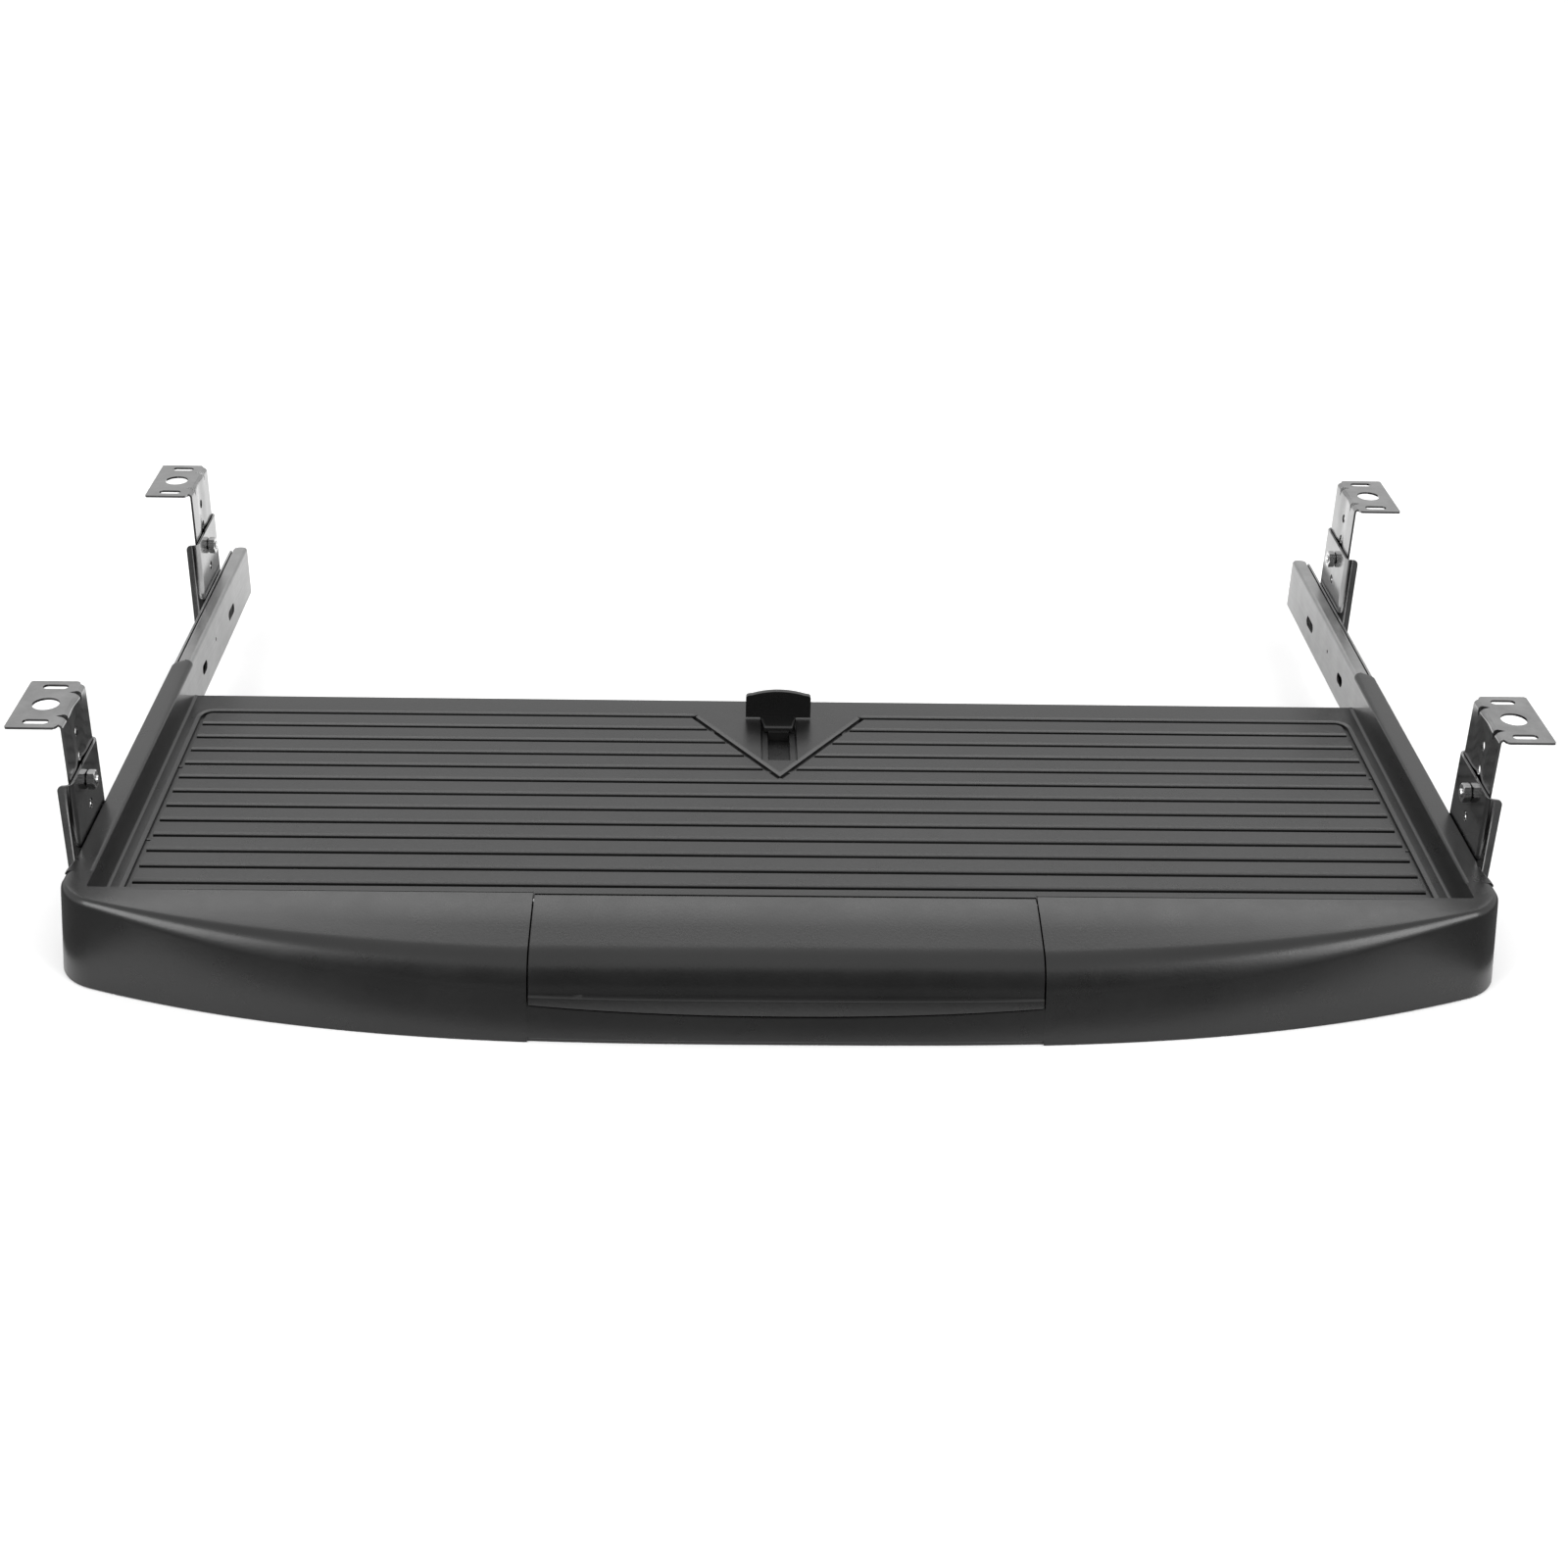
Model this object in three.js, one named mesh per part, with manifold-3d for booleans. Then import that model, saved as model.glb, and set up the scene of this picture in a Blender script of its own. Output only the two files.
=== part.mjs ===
// Under desk keyboard drawer: a moulded tray with a palm rest and a pen compartment, carried on
// two ball-bearing slides that hang from the desk top on four height-adjustable steel brackets.
//
// Millimetres, +Z up, the user sits on the -Y side. While it is modelled, y = 0 is the rear top
// edge of the palm rest and z = 0 is the top of the tray's floor. At the end the whole group is
// moved so that its origin is the middle of the footprint, on the surface that the tray stands on.
import * as THREE from 'three';
import { mergeVertices } from 'three/addons/utils/BufferGeometryUtils.js';
import Module from 'manifold-3d';

const wasm = await Module();
wasm.setup();

// Driving dimensions: the tray.
const BAY_HALF = 272.5;          // half the width of the keyboard bay, at its floor
const BAY_BACK = 193.5;          // rear edge of the floor
const SKIRT_DEPTH = 26;          // floor top down to the bottom of the tray
const REST_HEIGHT = 13;          // floor top up to the palm rest and the side caps
const REST_FRONT = 49.8;         // how far the palm rest reaches forward, in the middle
const REST_BOW = 40.3;           // how far the front curve falls back by the corners
const FRONT_HALF = 285;          // where the front curve would have fallen back by REST_BOW
const CORNER_START = 275;        // where the front curve turns into the corner
const CORNER_HALF = 289;         // half the width over the corners, at the bottom
const CORNER_RADIUS = 23.6;      // plan radius of the corners
const REST_SIDE_END = 12;        // rear end of the palm rest's side skirts
const WALL = 2.5;                // moulded wall
const FLOOR = 2.5;               // moulded floor
const CAP_THICK = 1.8;           // side cap, over the slides
const CAP_OUTER = 283.8;         // outer edge of the side caps
const CAP_BACK = 204.5;          // rear end of the side caps, on over the slides
const CAP_INNER = 274.1;         // inner edge of the side caps
const CAP_CORNERS = { inner: 3.5, outer: 5.5 };
const WALL_SLANT = 26;           // how far forward the side walls' rear edge leans, up to the cap
const SIDE_OUTER = 275.3;        // outer face of the bay's side walls

// The floor's grooves.
const GROOVE_COUNT = 13;
const GROOVE_BACK = 177;         // the rearmost groove
const GROOVE_PITCH = 12.64;
const GROOVE_SIDE = 265.2;       // the grooves along the sides
const GROOVE_DEPTH = 1.2;
const ARROW_HALF = 39;           // half the width of the plain arrow at the rear
const ARROW_TIP = 118.7;

// The keyboard stop and its track.
const TRACK_HALF = 8.2;
const TRACK_FRONT = 134.5;
const TRACK_BACK = 178.5;
const TRACK_DEPTH = 1.4;
const SLOT_HALF = 5;
const SLOT_BACK = 170;
const SLOT_DEPTH = 4.6;
const UNDERCUT_HALF = 6.6;       // the slot widens under the track, to hold the stop down
const UNDERCUT_TOP = -2.9;
const STOP_BACK = 177;

// The pen compartment and its lid.
const LID_HALF = 98.6;
const LID_GAP = 0.7;
const LID_THICK = 2.2;
const LID_PROUD = 0.4;
const HINGE_Y = -3.2;
const HINGE_Z = 9.4;
const BARREL = 4;                // radius of the lid's rounded rear edge, about the hinge
const PEN_FLOOR = -20;

// The slides.
const RAIL_TOP = 11;
const RAIL_BOTTOM = -16;
const RAIL_INNER = 275.6;
const RAIL_OUTER = 282.3;
const SHEET = 1;                 // steel sheet of the slides and brackets
const RAIL_FRONT = 13;
const RAIL_BACK = 344;
const FIXED_FRONT = 15;
const FIXED_BACK = 340;
const FIXED_INNER = 278.6;
const FIXED_OUTER = 283.6;
const FIXED_TOP = 6.4;
const FIXED_BOTTOM = -11.4;
const UPSTAND_TOP = 10.9;        // the fixed member's web stands up outside the moving one
const BALL = 1.45;
const BALL_X = 279.4;
const CAGE_FRONT = 126;
const CAGE_BACK = 226;
const BALLS_PER_CAGE = 4;
const SCREW_YS = [30, 110, 184];  // screws that hold the tray to the moving members
const SCREW_Z = -5.2;
const SCREW_RADIUS = 1.5;
const SCREW_DEPTH = 8;

// The brackets.
const PLATE_TOP = 66.2;          // desk face of the brackets
const PLATE_OUTER = 307.4;
const PLATE_HALF = 20.55;
const LEG_INNER = 285.2;
const LEG_HALF = 18;
const LEG_BOTTOM = 12;
const HOOK_INNER = 283.9;        // inner face of the lower brackets
const HOOK_OUTER = 289.9;
const HOOK_HALF = 21.7;
const HOOK_TOP = 40.5;
const HOOK_BOTTOM = -14;
const BEND = 3.6;
const HOLE_TOP = 53.9;
const HOLE_PITCH = 11;
const HOLE_COUNT = 4;
const BOLT_HOLE = 2;             // index of the height hole in use, from the top
const BRACKET_YS = { front: 52.6, rear: 297.2 };
const RIVET_OFFSET = 12;
const RIVET_Z = -2.5;
const RIVET_SHANK = 1.8;
const RIVET_HEAD = 3;
const BOLT_SHANK = 1.9;
const BOLT_HEAD = 3.9;
const BOLT_HEAD_THICK = 2.4;
const BOLT_REACH = 4.4;          // from the lower bracket in to the bolt's tip
const NUT_THICK = 3.2;
const NUT_RADIUS = 4.1;

const CLEAR = 0.3;               // between pieces that touch or slide
const JOIN = 1;                  // how far joined solids reach into each other
const SIDES = { left: -1, right: 1 };

// ---------------------------------------------------------------- solids

function toSolid(geometry) {
  const bare = geometry.index ? geometry.toNonIndexed() : geometry.clone();
  bare.deleteAttribute('normal');
  bare.deleteAttribute('uv');
  const merged = mergeVertices(bare, 1e-4);
  const corners = merged.index.array;
  const kept = [];
  for (let i = 0; i < corners.length; i += 3) {
    const [a, b, c] = [corners[i], corners[i + 1], corners[i + 2]];
    if (a !== b && b !== c && c !== a) kept.push(a, b, c);
  }
  const vertProperties = Float32Array.from(merged.attributes.position.array);
  const triVerts = Uint32Array.from(kept);
  return new wasm.Manifold(new wasm.Mesh({ numProp: 3, vertProperties, triVerts }));
}

const SLIVER = 0.02;             // facets thinner than this are left over from the joins and cuts

function toGeometry(solid) {
  const mesh = solid.simplify(SLIVER).getMesh();
  const geometry = new THREE.BufferGeometry();
  geometry.setAttribute('position', new THREE.BufferAttribute(mesh.vertProperties, 3));
  geometry.setIndex(new THREE.BufferAttribute(mesh.triVerts, 1));
  return geometry;
}

const AXES = {
  x: [new THREE.Vector3(0, 1, 0), new THREE.Vector3(0, 0, 1), new THREE.Vector3(1, 0, 0)],
  y: [new THREE.Vector3(1, 0, 0), new THREE.Vector3(0, 0, 1), new THREE.Vector3(0, -1, 0)],
  z: [new THREE.Vector3(1, 0, 0), new THREE.Vector3(0, 1, 0), new THREE.Vector3(0, 0, 1)],
};

// A closed outline carried along one axis. The outline is in (y, z), (x, z) or (x, y).
function extrude(axis, outline, from, to) {
  const shape = new THREE.Shape(outline.map(([u, v]) => new THREE.Vector2(u, v)));
  const depth = Math.abs(to - from);
  const geometry = new THREE.ExtrudeGeometry(shape, { depth, bevelEnabled: false });
  geometry.applyMatrix4(new THREE.Matrix4().makeBasis(...AXES[axis]));
  const low = Math.min(from, to);
  const offset = { x: [low, 0, 0], y: [0, low + depth, 0], z: [0, 0, low] };
  geometry.translate(...offset[axis]);
  return toSolid(geometry);
}

function box(x0, x1, y0, y1, z0, z1) {
  const geometry = new THREE.BoxGeometry(Math.abs(x1 - x0), Math.abs(y1 - y0), Math.abs(z1 - z0));
  geometry.translate((x0 + x1) / 2, (y0 + y1) / 2, (z0 + z1) / 2);
  return toSolid(geometry);
}

function arc(u, v, radius, fromDeg, toDeg, steps) {
  const points = [];
  for (let i = 0; i <= steps; i++) {
    const angle = THREE.MathUtils.degToRad(fromDeg + ((toDeg - fromDeg) * i) / steps);
    points.push([u + radius * Math.cos(angle), v + radius * Math.sin(angle)]);
  }
  return points;
}

function circle(u, v, radius, sides) {
  return arc(u, v, radius, 0, 360, sides).slice(1);
}

function rod(axis, u, v, radius, from, to, sides = 8) {
  return extrude(axis, circle(u, v, radius, sides), from, to);
}

// An oblong whose long way runs along the outline's first axis.
function oblong(u, v, halfLength, halfWidth, steps = 3) {
  const reach = halfLength - halfWidth;
  return [
    ...arc(u + reach, v, halfWidth, -90, 90, steps),
    ...arc(u - reach, v, halfWidth, 90, 270, steps),
  ];
}

function rectangle(u0, u1, v0, v1, radius = 0, steps = 3) {
  if (radius === 0) return [[u0, v0], [u1, v0], [u1, v1], [u0, v1]];
  return [
    ...arc(u1 - radius, v0 + radius, radius, -90, 0, steps),
    ...arc(u1 - radius, v1 - radius, radius, 0, 90, steps),
    ...arc(u0 + radius, v1 - radius, radius, 90, 180, steps),
    ...arc(u0 + radius, v0 + radius, radius, 180, 270, steps),
  ];
}

function signedVolume(positions, index) {
  let six = 0;
  const at = (i) => new THREE.Vector3(...positions[i]);
  for (let i = 0; i < index.length; i += 3) {
    six += at(index[i]).dot(at(index[i + 1]).cross(at(index[i + 2])));
  }
  return six;
}

// A skin through loops of equally many points, closed by a flat cap at each end.
// flat gives the two coordinates in which the end loops are flat.
function loft(loops, flat) {
  const count = loops[0].length;
  const positions = loops.flat();
  const index = [];
  for (let i = 0; i < loops.length - 1; i++) {
    for (let j = 0; j < count; j++) {
      const a = i * count + j;
      const b = i * count + ((j + 1) % count);
      index.push(a, b, b + count, a, b + count, a + count);
    }
  }
  for (const [start, forward] of [[0, false], [(loops.length - 1) * count, true]]) {
    const outline = positions.slice(start, start + count).map((p) => new THREE.Vector2(...flat(p)));
    const turn = Math.sign(THREE.ShapeUtils.area(outline));
    for (const face of THREE.ShapeUtils.triangulateShape(outline, [])) {
      const along = Math.sign(THREE.ShapeUtils.area(face.map((i) => outline[i]))) === turn;
      const ordered = along === forward ? face : [...face].reverse();
      index.push(...ordered.map((i) => i + start));
    }
  }
  if (signedVolume(positions, index) < 0) index.reverse();
  const geometry = new THREE.BufferGeometry();
  geometry.setAttribute('position', new THREE.Float32BufferAttribute(positions.flat(), 3));
  geometry.setIndex(index);
  return toSolid(geometry);
}

function addAll(solids) {
  return solids.reduce((whole, solid) => whole.add(solid));
}

function cutAll(solid, cutters) {
  return cutters.reduce((rest, cutter) => rest.subtract(cutter), solid);
}

// ---------------------------------------------------------------- palm rest

const PROFILE_TOP_STEPS = 2;
const PROFILE_TURN_STEPS = 4;
const DRAFT = 3.6;               // how far the front wall leans out to its foot
const SHALLOW = 14;              // depth of the tightest section, at the corners
const TURN = [3, 17];            // size of the turn from the top to the front wall, tight and soft
const FALL = 5.5;                // how far the top falls before the turn, where it is deepest
const TURN_TALL = 1.15;          // the turn is a little taller than it is deep

// The palm rest's section from its rear top edge to the foot of its front wall, as pairs of
// distance forward and height. Deep sections fall away softly, and shallow ones turn tightly.
function restProfile(depth, inset, drop) {
  const softness = THREE.MathUtils.clamp((depth - SHALLOW) / (REST_FRONT - SHALLOW), 0, 1) ** 1.3;
  const turn = THREE.MathUtils.lerp(...TURN, softness);
  const fall = FALL * softness;
  const turnDrop = turn * TURN_TALL;
  const wallTop = depth - DRAFT - inset;
  const shoulder = wallTop - turn;
  const points = [];
  for (let i = 0; i < PROFILE_TOP_STEPS; i++) {
    const t = i / PROFILE_TOP_STEPS;
    points.push([shoulder * t, REST_HEIGHT - drop - fall * t ** 1.5]);
  }
  for (let i = 0; i <= PROFILE_TURN_STEPS; i++) {
    const angle = (Math.PI / 2) * (i / PROFILE_TURN_STEPS);
    const height = REST_HEIGHT - drop - fall - turnDrop * (1 - Math.cos(angle));
    points.push([shoulder + turn * Math.sin(angle), height]);
  }
  points.push([depth - inset, -SKIRT_DEPTH - (drop > 0 ? JOIN : 0)]);
  return points;
}

function frontCurve(x) {
  return -REST_FRONT + REST_BOW * (Math.abs(x) / FRONT_HALF) ** 3;
}

// Stations round the palm rest, from one side skirt along the front to the other. Each has a
// point on the rear top edge and a point on the bottom outline.
function restStations(sideEnd) {
  const half = [];
  const frontSteps = 10;
  for (let i = 0; i <= frontSteps; i++) {
    const x = CORNER_START * Math.sin((Math.PI / 2) * (i / frontSteps));
    half.push({ edge: [x, 0], foot: [x, frontCurve(x)] });
  }
  const centre = [CORNER_HALF - CORNER_RADIUS, 8];
  for (const [x, y] of arc(...centre, CORNER_RADIUS, -58, 0, 4)) {
    half.push({ edge: [CORNER_START, Math.max(0, y)], foot: [x, y] });
  }
  half.push({ edge: [CORNER_START, sideEnd], foot: [CORNER_HALF, sideEnd] });
  const mirrored = half.slice(1).reverse().map(({ edge, foot }) => ({
    edge: [-edge[0], edge[1]],
    foot: [-foot[0], foot[1]],
  }));
  return [...mirrored, ...half];
}

function restSolid(inset, drop, sideEnd) {
  const loops = restStations(sideEnd).map(({ edge, foot }) => {
    const away = [foot[0] - edge[0], foot[1] - edge[1]];
    const depth = Math.hypot(...away);
    const profile = restProfile(depth, inset, drop);
    const bottom = profile[profile.length - 1][1];
    const loop = profile.map(([out, z]) => [
      edge[0] + (away[0] * out) / depth,
      edge[1] + (away[1] * out) / depth,
      z,
    ]);
    return [...loop, [edge[0], edge[1], bottom]];
  });
  return loft(loops, (p) => [p[0], p[2]]);
}

// ---------------------------------------------------------------- tray

// A groove from one point of the floor to another, steeper on its right-hand side.
function groove(from, to) {
  const [dx, dy] = [to[0] - from[0], to[1] - from[1]];
  const length = Math.hypot(dx, dy);
  const section = [[1.9, 0.4], [-1, -GROOVE_DEPTH], [-1.6, -GROOVE_DEPTH], [-1.8, 0.4]];
  const angle = THREE.MathUtils.radToDeg(Math.atan2(dy, dx));
  return extrude('x', section, 0, length).rotate([0, 0, angle]).translate([from[0], from[1], 0]);
}

function floorGrooves() {
  const cutters = [];
  for (let i = 0; i < GROOVE_COUNT; i++) {
    const y = GROOVE_BACK - i * GROOVE_PITCH;
    const clear = (ARROW_HALF * (y - ARROW_TIP)) / (GROOVE_BACK - ARROW_TIP);
    if (clear > 0) {
      cutters.push(groove([-GROOVE_SIDE, y], [-clear, y]));
      cutters.push(groove([clear, y], [GROOVE_SIDE, y]));
    } else {
      cutters.push(groove([-GROOVE_SIDE, y], [GROOVE_SIDE, y]));
    }
  }
  for (const side of [-1, 1]) {
    cutters.push(groove([side * ARROW_HALF, GROOVE_BACK], [0, ARROW_TIP]));
    cutters.push(groove([side * GROOVE_SIDE, GROOVE_BACK], [side * GROOVE_SIDE, 1]));
  }
  return cutters;
}

const PAD_HALF = 9.5;            // the pad under the floor that the keyboard stop's slot is cut in
const PAD_WALL = 1.6;

function trayFloor() {
  const slab = box(-SIDE_OUTER + JOIN, SIDE_OUTER - JOIN, -JOIN, BAY_BACK, -FLOOR, 0);
  const padBottom = -SLOT_DEPTH - PAD_WALL;
  const pad = box(-PAD_HALF, PAD_HALF, TRACK_FRONT - 3, TRACK_BACK, padBottom, -JOIN);
  const track = box(-TRACK_HALF, TRACK_HALF, TRACK_FRONT, TRACK_BACK, -TRACK_DEPTH, JOIN);
  const slotFront = TRACK_FRONT + 1;
  const slot = box(-SLOT_HALF, SLOT_HALF, slotFront, SLOT_BACK, -SLOT_DEPTH, JOIN);
  const wide = UNDERCUT_HALF;
  const undercut = box(-wide, wide, slotFront, SLOT_BACK, -SLOT_DEPTH, UNDERCUT_TOP);
  return cutAll(slab.add(pad), [...floorGrooves(), track, slot, undercut]);
}

// A side wall of the bay, with a rear edge that leans forward.
function sideWall(side) {
  const top = REST_HEIGHT - 0.8;
  const outline = [
    [BAY_HALF, 0],
    [CAP_INNER, top],
    [SIDE_OUTER, top],
    [SIDE_OUTER, -SKIRT_DEPTH],
    [SIDE_OUTER - WALL, -SKIRT_DEPTH],
    [SIDE_OUTER - WALL, -FLOOR],
  ].map(([x, z]) => [side * x, z]);
  const above = [
    [BAY_BACK, 0],
    [BAY_BACK + JOIN, 0],
    [BAY_BACK + JOIN, REST_HEIGHT],
    [BAY_BACK - WALL_SLANT, REST_HEIGHT],
  ];
  const cutter = extrude('x', above, side * (BAY_HALF - JOIN), side * (SIDE_OUTER + JOIN));
  return extrude('y', outline, -JOIN, BAY_BACK).subtract(cutter);
}

// The cap on top of a side wall covers the slide and runs on behind the wall.
function sideCap(side) {
  const top = REST_HEIGHT;
  const section = [
    [CAP_INNER, top - CAP_THICK],
    [CAP_INNER, top - 1],
    [CAP_INNER + 0.6, top - 0.3],
    [CAP_INNER + 1.8, top],
    [CAP_OUTER - 2.2, top],
    [CAP_OUTER - 0.8, top - 0.4],
    [CAP_OUTER, top - 1.2],
    [CAP_OUTER, top - CAP_THICK],
  ].map(([x, z]) => [side * x, z]);
  const { inner, outer } = CAP_CORNERS;
  const plan = [
    [CAP_INNER - JOIN, -JOIN],
    [CAP_OUTER + JOIN, -JOIN],
    [CAP_OUTER + JOIN, CAP_BACK - outer],
    ...arc(CAP_OUTER - outer, CAP_BACK - outer, outer, 0, 90, 4),
    ...arc(CAP_INNER + inner, CAP_BACK - inner, inner, 90, 180, 3),
    [CAP_INNER - JOIN, CAP_BACK - inner],
  ].map(([x, y]) => [side * x, y]);
  const cap = extrude('y', section, -JOIN, CAP_BACK + JOIN);
  return cap.intersect(extrude('z', plan, top - CAP_THICK - JOIN, top + JOIN));
}

const RIB_BOTTOM = -6;           // shallow stiffening ribs under the floor
const RIB_XS = [-200, -110, -30, 30, 110, 200];
const RIB_YS = [62, 126];
const RIB = 1.8;

function trayRibs() {
  const half = RIB / 2;
  return [
    ...RIB_XS.map((x) => box(x - half, x + half, -JOIN, BAY_BACK - JOIN, RIB_BOTTOM, -JOIN)),
    ...RIB_YS.map((y) => box(-BAY_HALF, BAY_HALF, y - half, y + half, RIB_BOTTOM, -JOIN)),
  ];
}

const REAR_SKIRT = -16;
const FOOT_START = 235;

function rearSkirt() {
  const back = BAY_BACK;
  const low = -SKIRT_DEPTH;
  return [
    box(-BAY_HALF - 0.5, BAY_HALF + 0.5, back - WALL, back, REAR_SKIRT, -JOIN),
    box(-BAY_HALF - 0.5, -FOOT_START, back - WALL, back, low, -JOIN),
    box(FOOT_START, BAY_HALF + 0.5, back - WALL, back, low, -JOIN),
  ];
}

function lidFoot(x) {
  return -14.8 + 3.3 * (x / LID_HALF) ** 2;
}

// Everything above the pen compartment that the lid takes the place of.
function lidOpening() {
  const half = LID_HALF + LID_GAP;
  const loops = [];
  for (let i = 0; i <= 8; i++) {
    const x = -half + (2 * half * i) / 8;
    const foot = lidFoot(x);
    const outline = [[2, 4.6], [2, 20], [-60, 20], [-60, foot], [-40, foot], [-20, 4.6]];
    loops.push(outline.map(([y, z]) => [x, y, z]));
  }
  return loft(loops, (p) => [p[1], p[2]]);
}

const PIN_RADIUS = 1.4;
const PIN_BOSS = 5;
const SCREW_BOSS = 4.4;

function trayShell() {
  const outer = restSolid(0, 0, REST_SIDE_END);
  const inner = restSolid(WALL, CAP_THICK, REST_SIDE_END + 1);
  const backWall = box(-SIDE_OUTER, SIDE_OUTER, -WALL, 0, -SKIRT_DEPTH - 2, REST_HEIGHT);
  const half = LID_HALF + LID_GAP;
  const tubOuter = box(-half - 2, half + 2, -60, -1, PEN_FLOOR - 2, 20).intersect(outer);
  const rim = half + CLEAR;
  const tubInner = box(-rim, rim, -60, -WALL, PEN_FLOOR, 20).intersect(inner);
  const bosses = [-1, 1].map((side) => {
    const [near, far] = [side * (half - 1), side * (half + PIN_BOSS)];
    return box(near, far, HINGE_Y - 4, -1, HINGE_Z - 4, HINGE_Z + 2.5);
  });
  const screwBosses = [];
  const holes = [];
  for (const side of Object.values(SIDES)) {
    const pinEnd = side * (half + PIN_BOSS - 1.5);
    holes.push(rod('x', HINGE_Y, HINGE_Z, PIN_RADIUS + CLEAR, side * (half - 9), pinEnd));
    for (const y of SCREW_YS) {
      const tip = SIDE_OUTER - SCREW_DEPTH;
      const boss = [side * (tip - 1.5), side * (SIDE_OUTER - JOIN)];
      screwBosses.push(rod('x', y, SCREW_Z, SCREW_BOSS, ...boss));
      const bore = [side * tip, side * (SIDE_OUTER + JOIN)];
      holes.push(rod('x', y, SCREW_Z, SCREW_RADIUS + CLEAR, ...bore));
    }
  }
  const rest = outer.subtract(inner.subtract(backWall));
  const whole = addAll([
    rest,
    tubOuter.subtract(tubInner),
    trayFloor(),
    ...Object.values(SIDES).flatMap((side) => [sideWall(side), sideCap(side)]),
    ...rearSkirt(),
    ...trayRibs(),
    ...bosses,
    ...screwBosses,
  ]);
  return cutAll(whole, [lidOpening(), ...holes]);
}

// ---------------------------------------------------------------- pen lid and keyboard stop

const LIP_TOP = -6.8;            // the ledge above the finger lip
const LIP_OUT = 0.7;             // how far the lip stands proud of the tray's front wall

// The lid's section at x: a barrel round the hinge, the palm rest's curve, then a finger lip.
function lidLoop(x) {
  const depth = REST_FRONT - 1.8;
  const bow = -frontCurve(x) - depth;
  const foot = lidFoot(x) + LID_GAP + 0.2;
  const curve = restProfile(depth, 0, 0).slice(1, -1).map(([out, z]) => [-out, z + LID_PROUD]);
  const barrelTop = arc(HINGE_Y, HINGE_Z, BARREL, -20, 90, 5);
  const wallTop = curve[curve.length - 1];
  wallTop[1] = LIP_TOP;
  const lipFront = -depth - bow + DRAFT - LIP_OUT;
  const outside = [
    ...barrelTop,
    ...curve,
    [lipFront, LIP_TOP - 0.8],
    [lipFront - 0.3, foot],
  ];
  const inside = curve.map(([y, z]) => [y + LID_THICK * 0.55, z - LID_THICK]).reverse();
  inside[inside.length - 1] = [HINGE_Y - BARREL - 1, REST_HEIGHT - LID_THICK + LID_PROUD - 0.6];
  inside[0][1] = foot + 3;
  return [
    ...outside,
    [wallTop[0] + LID_THICK, foot],
    ...inside,
    ...arc(HINGE_Y, HINGE_Z, BARREL, 200, 320, 4),
  ].map(([y, z]) => [x, y, z]);
}

function penLid() {
  const loops = [];
  for (let i = 0; i <= 8; i++) loops.push(lidLoop(-LID_HALF + (2 * LID_HALF * i) / 8));
  const holes = [-1, 1].map((side) => {
    const [deep, out] = [side * (LID_HALF - 6), side * (LID_HALF + 1)];
    return rod('x', HINGE_Y, HINGE_Z, PIN_RADIUS + CLEAR, deep, out);
  });
  return cutAll(loft(loops, (p) => [p[1], p[2]]), holes);
}

function hingePin(side) {
  return rod('x', HINGE_Y, HINGE_Z, PIN_RADIUS, side * (LID_HALF - 5.5), side * (LID_HALF + 4));
}

const STOP_THICK = 2.6;
const STOP_HALF = 15;
const STOP_HEIGHT = 14.4;

function keyboardStop() {
  const head = [
    [-STOP_HALF, 1],
    [STOP_HALF, 1],
    [STOP_HALF, 9.5],
    ...arc(0, -2, STOP_HEIGHT + 2, 47, 133, 8),
    [-STOP_HALF, 9.5],
  ];
  const paddle = extrude('y', head, STOP_BACK - STOP_THICK, STOP_BACK);
  const foot = [
    [-TRACK_HALF + CLEAR, STOP_BACK],
    [TRACK_HALF - CLEAR, STOP_BACK],
    [TRACK_HALF - CLEAR, STOP_BACK - 4],
    [7, STOP_BACK - 13.5],
    [-7, STOP_BACK - 13.5],
    [-TRACK_HALF + CLEAR, STOP_BACK - 4],
  ];
  const plate = extrude('z', foot, -TRACK_DEPTH + CLEAR, 1.8);
  const [stemFront, stemBack] = [STOP_BACK - 15.5, SLOT_BACK - CLEAR];
  const stemLow = -SLOT_DEPTH + CLEAR;
  const tongueHalf = UNDERCUT_HALF - CLEAR;
  const stem = box(-SLOT_HALF + CLEAR, SLOT_HALF - CLEAR, stemFront, stemBack, stemLow, 0);
  const tongue = box(-tongueHalf, tongueHalf, stemFront, stemBack, stemLow, UNDERCUT_TOP - CLEAR);
  return addAll([paddle, plate, stem, tongue]);
}

// ---------------------------------------------------------------- slides

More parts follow.
